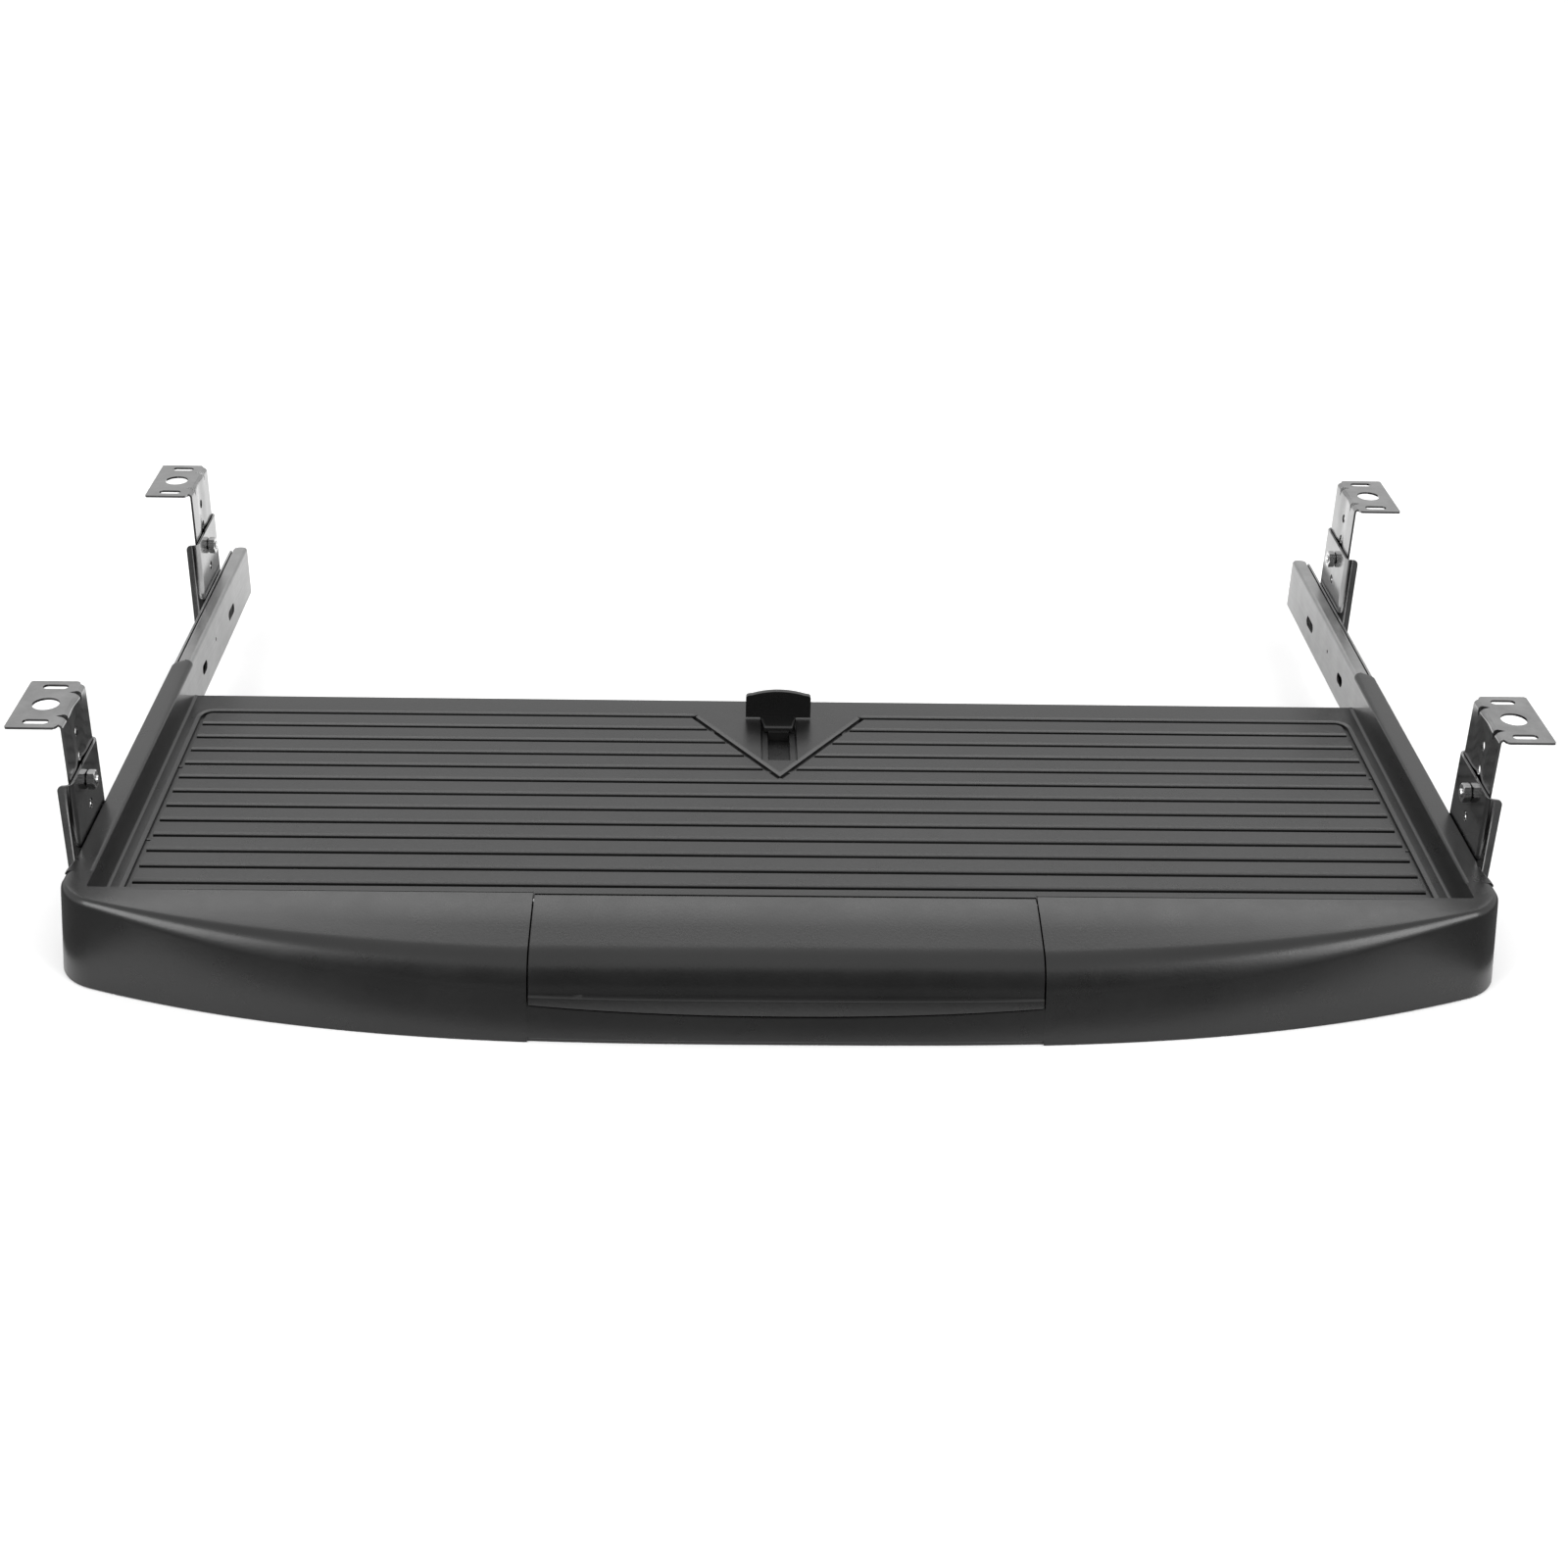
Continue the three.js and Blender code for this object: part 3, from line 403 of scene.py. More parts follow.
def box(x0, x1, y0, y1, z0, z1):
    return prism("z", [(x0, y0), (x1, y0), (x1, y1), (x0, y1)], z0, z1)


def rod(axis, u, v, radius, start, stop, sides=24):
    return prism(axis, circle(u, v, radius, sides), start, stop)


AXIS_RADIUS = 0.02               # a turned solid's ends stay this far from closing to a point


def turned(y, z, profile, sides=28):
    """A solid turned about a line along x through (y, z). The profile has (x, radius) pairs."""
    loops = [along("x", circle(y, z, max(radius, AXIS_RADIUS), sides), x) for x, radius in profile]
    return loft(loops)


def merge(*shapes):
    points, faces = [], []
    for more_points, more_faces in shapes:
        start = len(points)
        points += more_points
        faces += [tuple(i + start for i in face) for face in more_faces]
    return points, faces


def flip(shape, side):
    """The shape on the right-hand side, or its mirror image on the left."""
    points, faces = shape
    return [(side * x, y, z) for x, y, z in points], faces


def shift_y(shape, y):
    points, faces = shape
    return [(p[0], p[1] + y, p[2]) for p in points], faces


def to_mesh(name, shape, to_row=True):
    points, faces = shape
    mesh = bpy.data.meshes.new(name)
    mesh.from_pydata([place(p) if to_row else Vector(p) for p in points], [], faces)
    work = bmesh.new()
    work.from_mesh(mesh)
    bmesh.ops.recalc_face_normals(work, faces=work.faces)
    work.to_mesh(mesh)
    work.free()
    return mesh


def scratch_object(name, shape):
    """An object, in millimetres, for modifiers to work on."""
    obj = bpy.data.objects.new(name, to_mesh(name, shape, False))
    bpy.context.scene.collection.objects.link(obj)
    return obj


def modified_shape(obj):
    """The shape that the object's modifiers give."""
    bpy.context.view_layer.update()
    result = obj.evaluated_get(bpy.context.evaluated_depsgraph_get()).to_mesh()
    return [tuple(v.co) for v in result.vertices], [tuple(p.vertices) for p in result.polygons]


def discard(objects):
    for obj in objects:
        mesh = obj.data
        bpy.data.objects.remove(obj)
        bpy.data.meshes.remove(mesh)


def boolean(shape, operation, tools):
    """The shape with each tool cut away, joined on or kept in common."""
    base = scratch_object("boolean_base", shape)
    helpers = []
    for tool in tools:
        helper = scratch_object("boolean_tool", tool)
        helpers.append(helper)
        modifier = base.modifiers.new("boolean", "BOOLEAN")
        modifier.operation = operation
        modifier.solver = "EXACT"
        modifier.object = helper
    made = modified_shape(base)
    discard([*helpers, base])
    return made


def cut(shape, tools):
    return boolean(shape, "DIFFERENCE", tools)


def join(shape, tools):
    return boolean(shape, "UNION", tools)


def softened(shape, width, segments=2, angle=32):
    """The shape with its edges rounded off."""
    obj = scratch_object("soften", shape)
    modifier = obj.modifiers.new("bevel", "BEVEL")
    modifier.width = width
    modifier.segments = segments
    modifier.limit_method = "ANGLE"
    modifier.angle_limit = math.radians(angle)
    modifier.use_clamp_overlap = True
    made = modified_shape(obj)
    discard([obj])
    return made


SHARP = math.radians(34)         # edges sharper than this stay crisp in the shading


def piece(name, shape, body, slot, material, *nodes):
    mesh = to_mesh(name, shape)
    mesh.materials.append(material)
    mesh.shade_smooth()
    mesh.set_sharp_from_angle(angle=SHARP)
    obj = bpy.data.objects.new(name, mesh)
    bpy.context.scene.collection.objects.link(obj)
    normals = obj.modifiers.new("normals", "WEIGHTED_NORMAL")
    normals.keep_sharp = True
    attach(obj, body)
    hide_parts(*nodes)


# ---------------------------------------------------------------- palm rest

TOP_TURN = 3                     # how far the top takes to turn down, where the rest is shallow
EXTRA_TURN = 14                  # and how much more where it is deepest
TOP_FALL = 5.5
TURN_DROP = 1.15                 # height lost in the turn, over its reach


def front_curve(x):
    return -REST_FRONT + REST_BOW * (abs(x) / FRONT_HALF) ** 3


def softness(depth):
    share = (depth - SHALLOW) / (REST_FRONT - SHALLOW)
    return min(max(share, 0), 1) ** 1.3


def rest_curve(depth, inset=0, drop=0, start=0, rounds=3):
    """The palm rest's section from its rear edge to the foot, as (forward, height) pairs."""
    soft = softness(depth)
    full_turn = TOP_TURN + EXTRA_TURN * soft
    fall = TOP_FALL * soft
    wall_top = depth - DRAFT - inset
    shoulder = max(wall_top - full_turn, start + 0.2)
    turn = wall_top - shoulder
    top = REST_HEIGHT - drop
    points = []
    for t in (0, 0.5):
        points.append((start + (shoulder - start) * t, top - fall * t ** 1.5))
    for i in range(5):
        angle = math.pi / 2 * i / 4
        drop_here = TURN_DROP * full_turn * (1 - math.cos(angle))
        points.append((shoulder + turn * math.sin(angle), top - fall - drop_here))
    points.append((depth - inset, -SKIRT_DEPTH))
    return chaikin(points, rounds)


FOOT_STEP = 1.7                  # height of the small step above the bottom edge
FOOT_INSET = 0.7


def rest_section(depth):
    """The closed section of the palm rest's shell: outside, foot, inside and rear wall."""
    edge = [
        (0, REST_HEIGHT - 0.5), (0.05, REST_HEIGHT - 0.36), (0.18, REST_HEIGHT - 0.27),
        (0.4, REST_HEIGHT - 0.21), (1.0, REST_HEIGHT - 0.08), (1.4, REST_HEIGHT - 0.02),
    ]
    outside = rest_curve(depth)[1:-1]
    low = -SKIRT_DEPTH + FOOT_STEP
    slope = DRAFT / (outside[-1][1] + SKIRT_DEPTH)
    at_step = depth - slope * FOOT_STEP
    foot = [
        (at_step, low + 0.25),
        (at_step - 0.2, low),
        (at_step - FOOT_INSET, low - 0.05),
        (at_step - FOOT_INSET + 0.1, -SKIRT_DEPTH + 0.2),
        (at_step - FOOT_INSET - 0.1, -SKIRT_DEPTH),
    ]
    inside = rest_curve(depth, WALL, CAP_THICK, WALL, 2)[::-1]
    return [*edge, *outside, *foot, *inside, (WALL, -SKIRT_DEPTH), (0, -SKIRT_DEPTH)]


def rest_loop(edge, foot):
    away = Vector((foot[0] - edge[0], foot[1] - edge[1]))
    depth = away.length
    away.normalize()
    return [(edge[0] + away.x * out, edge[1] + away.y * out, z) for out, z in rest_section(depth)]


def palm_rest_wing():
    """Right half of the palm rest, from the pen lid round the corner to the end of its side."""
    start = LID_HALF + LID_GAP
    centre_x, centre_y = CORNER_HALF - CORNER_RADIUS, 8
    corner_x = centre_x + CORNER_RADIUS * math.cos(math.radians(CORNER_FROM))
    stations = []
    steps = 44
    for i in range(steps + 1):
        x = start + (corner_x - start) * math.sin(math.pi / 2 * i / steps)
        stations.append(((min(x, CAP_INNER - EDGE_ROUND), 0), (x, front_curve(x))))
    turns = 18
    corner = arc(centre_x, centre_y, CORNER_RADIUS, CORNER_FROM, 0, turns)
    edges = arc(CAP_INNER - EDGE_ROUND, EDGE_ROUND, EDGE_ROUND, -90, 0, turns)
    stations += list(zip(edges[1:], corner[1:]))
    for y in (9, 10.5, REST_SIDE_END):
        stations.append(((CAP_INNER, y - 6 * (REST_SIDE_END - y) / 4), (CORNER_HALF, y)))
    return loft([rest_loop(edge, foot) for edge, foot in stations])


def wing_end_wall():
    """The wall that closes the wing beside the pen compartment."""
    half = LID_HALF + LID_GAP
    loops = []
    for x in (half + 0.05, half + 2):
        depth = -front_curve(x)
        outline = rest_curve(depth - 0.3, 0, 0.3)
        outline[-1] = (outline[-1][0] - 0.6, PEN_FLOOR - 2)
        outline[0] = (0.3, REST_HEIGHT - 0.9)
        loops.append([(x, -out, z) for out, z in [*outline, (0.3, PEN_FLOOR - 2)]])
    return loft(loops)


def lid_foot(x):
    return -14.8 + 3.3 * (x / LID_HALF) ** 2


def wall_line(depth):
    """Forward distance of the front wall at a height, for a section of this depth."""
    curve = rest_curve(depth)
    top = curve[-2]
    slope = (depth - top[0]) / (top[1] + SKIRT_DEPTH)
    return lambda z: depth - slope * (z + SKIRT_DEPTH)


def centre_wall():
    """The front wall under the lid."""
    half = LID_HALF + LID_GAP
    loops = []
    steps = 40
    low = -SKIRT_DEPTH + FOOT_STEP
    for i in range(steps + 1):
        x = -half + 2 * half * i / steps
        line = wall_line(-front_curve(x))
        top = lid_foot(x)
        section = [
            (line(top) - WALL, top),
            (line(top) - 0.3, top),
            (line(top), top - 0.3),
            (line(low + 0.25), low + 0.25),
            (line(low) - 0.2, low),
            (line(low) - FOOT_INSET, low - 0.05),
            (line(low) - FOOT_INSET + 0.1, -SKIRT_DEPTH + 0.2),
            (line(low) - FOOT_INSET - 0.1, -SKIRT_DEPTH),
            (line(-SKIRT_DEPTH) - WALL, -SKIRT_DEPTH),
        ]
        loops.append([(x, -out, z) for out, z in section])
    return loft(loops)


def pen_compartment():
    half = LID_HALF + LID_GAP
    front = [(x, front_curve(x) + 4) for x in [half * (i / 10 - 1) for i in range(21)]]
    bottom = prism("z", [*front, (half, -1), (-half, -1)], PEN_FLOOR - 2, PEN_FLOOR)
    rear = box(-half - 0.5, half + 0.5, -WALL, 0, -SKIRT_DEPTH, 4.6)
    return softened(join(bottom, [rear]), 0.4)


# ---------------------------------------------------------------- floor and sides

GROOVE_SECTION = (
    (3.0, 0.5), (2.6, 0.04), (2.35, -0.04), (1.8, -0.16), (0.95, -0.36), (0.75, -0.52),
    (0.65, -GROOVE_DEPTH), (-1.4, -GROOVE_DEPTH), (-1.65, -0.3), (-1.75, -0.08),
    (-1.95, 0.04), (-2.3, 0.5),
)


def groove(start, stop):
    """A groove from one point of the floor to another, with its steep side on the right."""
    way = Vector((stop[0] - start[0], stop[1] - start[1]))
    length = way.length
    way.normalize()
    left = Vector((-way.y, way.x))
    loops = []
    for share in (0, length):
        base = Vector(start) + way * share
        loops.append([(base.x + left.x * v, base.y + left.y * v, z) for v, z in GROOVE_SECTION])
    return loft(loops)


def frame_groove(side):
    """The groove beside the bay's wall, turning into the rearmost groove with a round corner."""
    x, y, r = GROOVE_SIDE, GROOVE_BACK, GROOVE_CORNER
    line = [(x, 1.2), (x, y - r), *arc(x - r, y - r, r, 0, 90, 8)[1:], (ARROW_HALF, y)]
    if side < 0:
        line = [(-px, py) for px, py in line]
    loops = []
    for i, (px, py) in enumerate(line):
        before = Vector(line[max(i - 1, 0)])
        after = Vector(line[min(i + 1, len(line) - 1)])
        way = (after - before).normalized()
        left = Vector((-way.y, way.x)) * side
        loops.append([(px + left.x * -v, py + left.y * -v, z) for v, z in GROOVE_SECTION])
    return loft(loops)


def floor_grooves():
    cutters = []
    for i in range(1, GROOVE_COUNT):
        y = GROOVE_BACK - i * GROOVE_PITCH
        clear = ARROW_HALF * (y - ARROW_TIP) / (GROOVE_BACK - ARROW_TIP)
        if clear > 0:
            cutters.append(groove((-GROOVE_SIDE, y), (-clear, y)))
            cutters.append(groove((clear, y), (GROOVE_SIDE, y)))
        else:
            cutters.append(groove((-GROOVE_SIDE, y), (GROOVE_SIDE, y)))
    cutters.append(groove((-ARROW_HALF, GROOVE_BACK), (0.4, ARROW_TIP - 0.6)))
    cutters.append(groove((-0.4, ARROW_TIP - 0.6), (ARROW_HALF, GROOVE_BACK)))
    cutters.append(frame_groove(1))
    cutters.append(frame_groove(-1))
    return cutters


def tray_floor():
    slab_outline = [
        (-1, -FLOOR), (-1, 0), (BAY_BACK - 0.6, 0), (BAY_BACK - 0.17, -0.17),
        (BAY_BACK, -0.6), (BAY_BACK, -FLOOR),
    ]
    slab = prism("x", slab_outline, -SIDE_OUTER + 1, SIDE_OUTER - 1)
    pad = box(-9.5, 9.5, TRACK_FRONT - 3, TRACK_BACK, -SLOT_DEPTH - 1.6, -1)
    shape = cut(join(slab, [pad]), floor_grooves())
    slot_front = TRACK_FRONT + 1
    wide = UNDERCUT_HALF
    return cut(shape, [
        prism("z", rounded(-TRACK_HALF, TRACK_HALF, TRACK_FRONT, TRACK_BACK, 0.8), -TRACK_DEPTH, 1),
        box(-SLOT_HALF, SLOT_HALF, slot_front, SLOT_BACK, -SLOT_DEPTH, 1),
        box(-wide, wide, slot_front, SLOT_BACK, -SLOT_DEPTH, UNDERCUT_TOP),
        *[flip(box(TRACK_HALF - 0.8, TRACK_HALF, TRACK_FRONT + 0.4, TRACK_BACK, -2.3, -1), side)
          for side in (-1, 1)],
    ])


def side_wall():
    """The bay's side wall, with a small fillet at its foot and a rear edge that leans forward."""
    top = REST_HEIGHT - 0.8
    outline = [
        (BAY_HALF - 1.6, -0.4), (BAY_HALF - 1.2, 0.02), (BAY_HALF - 0.55, 0.14),
        (BAY_HALF - 0.15, 0.45), (BAY_HALF + 0.1, 1.1), (CAP_INNER, top), (SIDE_OUTER, top),
        (SIDE_OUTER, -SKIRT_DEPTH), (SIDE_OUTER - WALL, -SKIRT_DEPTH), (SIDE_OUTER - WALL, -1.5),
    ]
    slant = WALL_SLANT / REST_HEIGHT
    front = along("y", outline, 0.5)
    rear = [(x, BAY_BACK - 0.1 - max(z, 0) * slant, z) for x, z in outline]
    return softened(loft([front, rear]), 0.25, 2, 40)


def cap_section(inner, outer, crown, radius):
    """Section of the cap over the slide: highest near its inner edge, falling away outward."""
    top = REST_HEIGHT
    low = top - CAP_THICK
    edge = 1.3
    width = outer - inner
    crest = inner + min(edge + 0.9, width * 0.45)
    return [
        (inner + 0.05, low),
        *arc(inner + edge, top - edge, edge, 180, 90, 5),
        (crest, top),
        (crest + (outer - radius - crest) * 0.5, top - crown * 0.35),
        *arc(outer - radius, top - crown - radius, radius, 84, 0, 6),
        (outer, low),
    ]


def side_cap():
    blend_end = 26
    loops = []
    straight = CAP_BACK - CAP_ROUND["outer"]
    for y in (REST_SIDE_END - 0.2, 14, 16.5, 19, 21.5, 24, blend_end, 60, 120, straight):
        share = min(max((blend_end - y) / (blend_end - REST_SIDE_END), 0), 1)
        share = share * share * (3 - 2 * share)
        outer = CAP_OUTER + 1.6 * share
        section = cap_section(CAP_INNER, outer, 0.55 * (1 - share), 1.2 + 0.6 * share)
        loops.append(along("y", section, y))
    for i in range(1, 9):
        angle = math.pi / 2 * i / 8
        y = straight + CAP_ROUND["outer"] * math.sin(angle)
        outer = CAP_OUTER - CAP_ROUND["outer"] * (1 - math.cos(angle)) * 0.85
        reach = max(y - (CAP_BACK - CAP_ROUND["inner"]), 0) / CAP_ROUND["inner"]
        inner = CAP_INNER + CAP_ROUND["inner"] * (1 - math.sqrt(max(1 - reach * reach, 0))) * 0.85
        loops.append(along("y", cap_section(inner, outer, 0.55, 1.0), y))
    return softened(loft(loops), 0.3, 2, 50)


FOOT_INNER = 235
FOOT_TOP = -14
RIB_XS = (-200, -110, -30, 30, 110, 200)
RIB_YS = (62, 126)
RIB_HALF = 0.9
BOSS_RADIUS = 4.4


def underside():
    """Skirts, shallow ribs and screw bosses."""
    bottom = -SKIRT_DEPTH
    back = BAY_BACK
    foot = box(FOOT_INNER, BAY_HALF, back - WALL, back - 0.02, bottom, FOOT_TOP)
    feet = [flip(foot, side) for side in (-1, 1)]
    skirt = [join(box(-BAY_HALF, BAY_HALF, back - WALL, back - 0.02, -16, -1), feet)]
    ribs = [box(x - RIB_HALF, x + RIB_HALF, -1, back - 1, -6, -1.2) for x in RIB_XS]
    ribs += [box(-BAY_HALF, BAY_HALF, y - RIB_HALF, y + RIB_HALF, -5.9, -1.3) for y in RIB_YS]
    tip = SIDE_OUTER - SCREW_DEPTH
    bosses = [
        flip(rod("x", y, SCREW_Z, BOSS_RADIUS, tip - 1.5, SIDE_OUTER - 1), side)
        for y in SCREW_YS for side in (-1, 1)
    ]
    return merge(*[softened(s, 0.3) for s in [*skirt, *ribs, *bosses]])


def tray():
    right = merge(palm_rest_wing(), wing_end_wall(), side_wall(), side_cap())
    parts = [tray_floor(), right, flip(right, -1), centre_wall(), pen_compartment(), underside()]
    piece("tray", merge(*parts), "drawer", "tray_plastic", TRAY_PLASTIC, "tray_shell")


# ---------------------------------------------------------------- pen lid and keyboard stop

def lid_section(x):
    """The lid's closed section: barrel, top, ledge, finger lip and inside."""
    depth = REST_FRONT - 1.8
    bow = -front_curve(x) - depth
    foot = lid_foot(x) + LID_GAP + 0.2
    curve = rest_curve(depth)
    outside = [(-out, z + LID_PROUD) for out, z in resampled(curve[2:], 34, LIP_TOP)]
    wall_y = outside[-1][0]
    lip = -depth - bow + DRAFT - LIP_OUT
    ledge = [
        (wall_y - 0.25, LIP_TOP - 0.02),
        (lip + 0.4, LIP_TOP - 0.3),
        (lip + 0.1, LIP_TOP - 0.5),
        (lip, LIP_TOP - 0.85),
        (lip - 0.25, foot + 0.35),
        (lip - 0.12, foot + 0.08),
        (lip + 0.2, foot),
        (wall_y + LID_THICK, foot),
    ]
    inner = resampled(rest_curve(depth, 0, 0, 9), 20, foot + LID_THICK + 3)
    inside = [(-out + LID_THICK * 0.55, z - LID_THICK) for out, z in inner][::-1]
    barrel = arc(HINGE_Y, HINGE_Z, BARREL, -20, 88, 12)
    rear = arc(HINGE_Y, HINGE_Z, BARREL, 200, 325, 10)
    return [*barrel, *outside, *ledge, *inside, *rear]


def pen_lid():
    steps = 48
    xs = [-LID_HALF + 2 * LID_HALF * i / steps for i in range(steps + 1)]
    shape = softened(loft([along("x", lid_section(x), x) for x in xs]), 0.35, 3, 50)
    bores = [
        flip(rod("x", HINGE_Y, HINGE_Z, PIN_RADIUS + CLEAR, LID_HALF - 6, LID_HALF + 1), side)
        for side in (-1, 1)
    ]
    piece("pen_lid_shell", cut(shape, bores), "pen_lid", "tray_plastic", TRAY_PLASTIC, "pen_lid")


def keyboard_stop():
    corner = [(STOP_HALF, 9.4), (STOP_HALF, 12.1), (12, 12.55)]
    arch = arc(0, STOP_HEIGHT - 40, 40, 73, 107, 18)
    right = chaikin([(STOP_HALF, 1.1), *corner], 3)
    head = [*right, *arch, *[(-x, z) for x, z in right[::-1]]]
    paddle = prism("y", head, STOP_BACK - STOP_THICK, STOP_BACK - 0.02)
    half = TRACK_HALF - CLEAR
    plate_outline = [
        (-half, STOP_BACK - 0.5), (half, STOP_BACK - 0.5), (half, STOP_BACK - 4),
        (6.3, STOP_BACK - 13.5), (-6.3, STOP_BACK - 13.5), (-half, STOP_BACK - 4),
    ]
    bevel = 0.7
    plate = loft([
        [(x, y, -TRACK_DEPTH + CLEAR) for x, y in plate_outline],
        [(x, y, 1.8 - bevel) for x, y in plate_outline],
        [(x * 0.93, max(y, STOP_BACK - 13.5 + bevel * 1.2), 1.8) for x, y in plate_outline],
    ])
    front, back, low = STOP_BACK - 15.5, SLOT_BACK - CLEAR, -SLOT_DEPTH + CLEAR
    wide = UNDERCUT_HALF - CLEAR
    stem = box(-SLOT_HALF + CLEAR, SLOT_HALF - CLEAR, front, back, low, 0)
    tongue = box(-wide, wide, front + 0.02, back, low + 0.02, UNDERCUT_TOP - CLEAR)
    shape = join(paddle, [plate, stem, tongue])
    piece("keyboard_stop_slider", softened(shape, 0.35, 3), "keyboard_stop", "stop_plastic",
          STOP_PLASTIC, "keyboard_stop")


def hinge_pins():
    for hand, side in SIDES.items():
        start, stop = LID_HALF - 5.5, LID_HALF + 4
        profile = [
            (start, 0), (start, PIN_RADIUS - 0.3), (start + 0.3, PIN_RADIUS),
            (stop - 0.3, PIN_RADIUS), (stop, PIN_RADIUS - 0.3), (stop, 0),
        ]
        piece(f"hinge_pin_{hand}", flip(turned(HINGE_Y, HINGE_Z, profile), side), "pen_lid",
              "fastener_steel", FASTENER_STEEL, f"lid_hinge_pin_{hand}")


# ---------------------------------------------------------------- slides

RAIL_SLOTS = ((295, -3.7, 7, 2.5), (229.5, -3.2, 5, 2.5))        # y, z, half length, half width
RAIL_HOLE = (257, -1, 1)                                         # y, z, radius
RAIL_CORNER = 3.2


def drawer_rail_shape():
    inner, outer, top, low = RAIL_INNER, RAIL_OUTER, RAIL_TOP, RAIL_BOTTOM
    bend = 1.9
    half = [
        (outer, 2.4),
        *arc(outer - 0.9, 0.9, 0.9, 0, -90, 6),
        *arc(inner + bend, bend, bend, -90, -180, 8),
    ]
    inside = [
        *arc(inner + bend, bend, bend - SHEET, -180, -90, 6),
        (outer - SHEET, SHEET),
        (outer - SHEET, 2.4),
    ]
    outline = [
        *[(x, top - away) for x, away in half],
        *[(x, low + away) for x, away in half[::-1]],
        *[(x, low + away) for x, away in inside[::-1]],
        *[(x, top - away) for x, away in inside],
    ]
    rail = prism("y", outline, RAIL_FRONT, RAIL_BACK)
    web = (inner - 1, inner + SHEET + 1)
    turn_x, turn_y = outer - RAIL_CORNER, RAIL_BACK - RAIL_CORNER
    round_off = [
        (outer + 1, RAIL_BACK + 1), (outer + 1, turn_y),
        *arc(turn_x, turn_y, RAIL_CORNER, 0, 90, 8),
        (turn_x, RAIL_BACK + 1),
    ]
    tools = [
        *[prism("x", oblong(*slot), *web) for slot in RAIL_SLOTS],
        rod("x", *RAIL_HOLE, *web),
        prism("z", round_off, low - 1, top + 1),
        *[rod("x", y, SCREW_Z, SCREW_RADIUS + 0.4, *web) for y in SCREW_YS],
    ]
    tab = box(inner + 0.2, outer - 0.2, RAIL_FRONT + 0.01, RAIL_FRONT + SHEET, -10, 5)
    return softened(cut(join(rail, [tab]), tools), 0.12, 2)


def fixed_rail_shape():
    inner, outer, top, low = FIXED_INNER, FIXED_OUTER, FIXED_TOP, FIXED_BOTTOM
    bend = 1.5
    outline = [
        (inner, top),
        (outer - SHEET, top),
        (outer - SHEET, UPSTAND_TOP),
        (outer, UPSTAND_TOP),
        *arc(outer - bend, low + bend, bend, 0, -90, 6),
        (inner, low),
        (inner, low + SHEET),
        *arc(outer - bend, low + bend, bend - SHEET, -90, 0, 4),
        *arc(outer - bend, top - bend, bend - SHEET, 0, 90, 4),
        (inner, top - SHEET),
    ]
    rail = prism("y", outline, FIXED_FRONT, FIXED_BACK)
    holes = [
        rod("x", y + offset, RIVET_Z, RIVET_SHANK + CLEAR, outer - 3, outer + 1)
        for y in BRACKET_YS.values() for offset in (-RIVET_OFFSET, RIVET_OFFSET)
    ]
    return softened(cut(rail, holes), 0.12, 2)


def ball_shape(y, z):
    steps = 12
    turns = [math.pi * i / steps for i in range(steps + 1)]
    profile = [(BALL_X - BALL * math.cos(a), BALL * math.sin(a)) for a in turns]
    return turned(y, z, profile, 20)


def ball_cage_shape(height):
    strip = box(BALL_X - 1.8, BALL_X + 1.4, CAGE_FRONT, CAGE_BACK, height - 0.4, height + 0.4)
    pitch = (CAGE_BACK - CAGE_FRONT) / BALLS_PER_CAGE
    balls = [ball_shape(CAGE_FRONT + pitch * (i + 0.5), height) for i in range(BALLS_PER_CAGE)]
    return merge(softened(strip, 0.12), *balls)


def tray_screw_shape(y):
    face = RAIL_INNER + SHEET + CLEAR
    tip = SIDE_OUTER - SCREW_DEPTH + CLEAR
    profile = [(tip, 0), (tip, 0.4), (tip + 1.5, SCREW_RADIUS - 0.35)]
    x = tip + 1.5
    while x < face - 0.6:
        profile += [(x + 0.25, SCREW_RADIUS), (x + 0.5, SCREW_RADIUS - 0.35)]
        x += 0.5
    profile += [
        (face, SCREW_RADIUS), (face, 3), (face + 0.7, 2.8), (face + 1.4, 1.7), (face + 1.4, 0),
    ]
    cross = [
        box(face + 0.7, face + 2, y - 1.4, y + 1.4, SCREW_Z - 0.3, SCREW_Z + 0.3),
        box(face + 0.7, face + 2, y - 0.3, y + 0.3, SCREW_Z - 1.4, SCREW_Z + 1.4),
    ]
    return cut(turned(y, SCREW_Z, profile), cross)


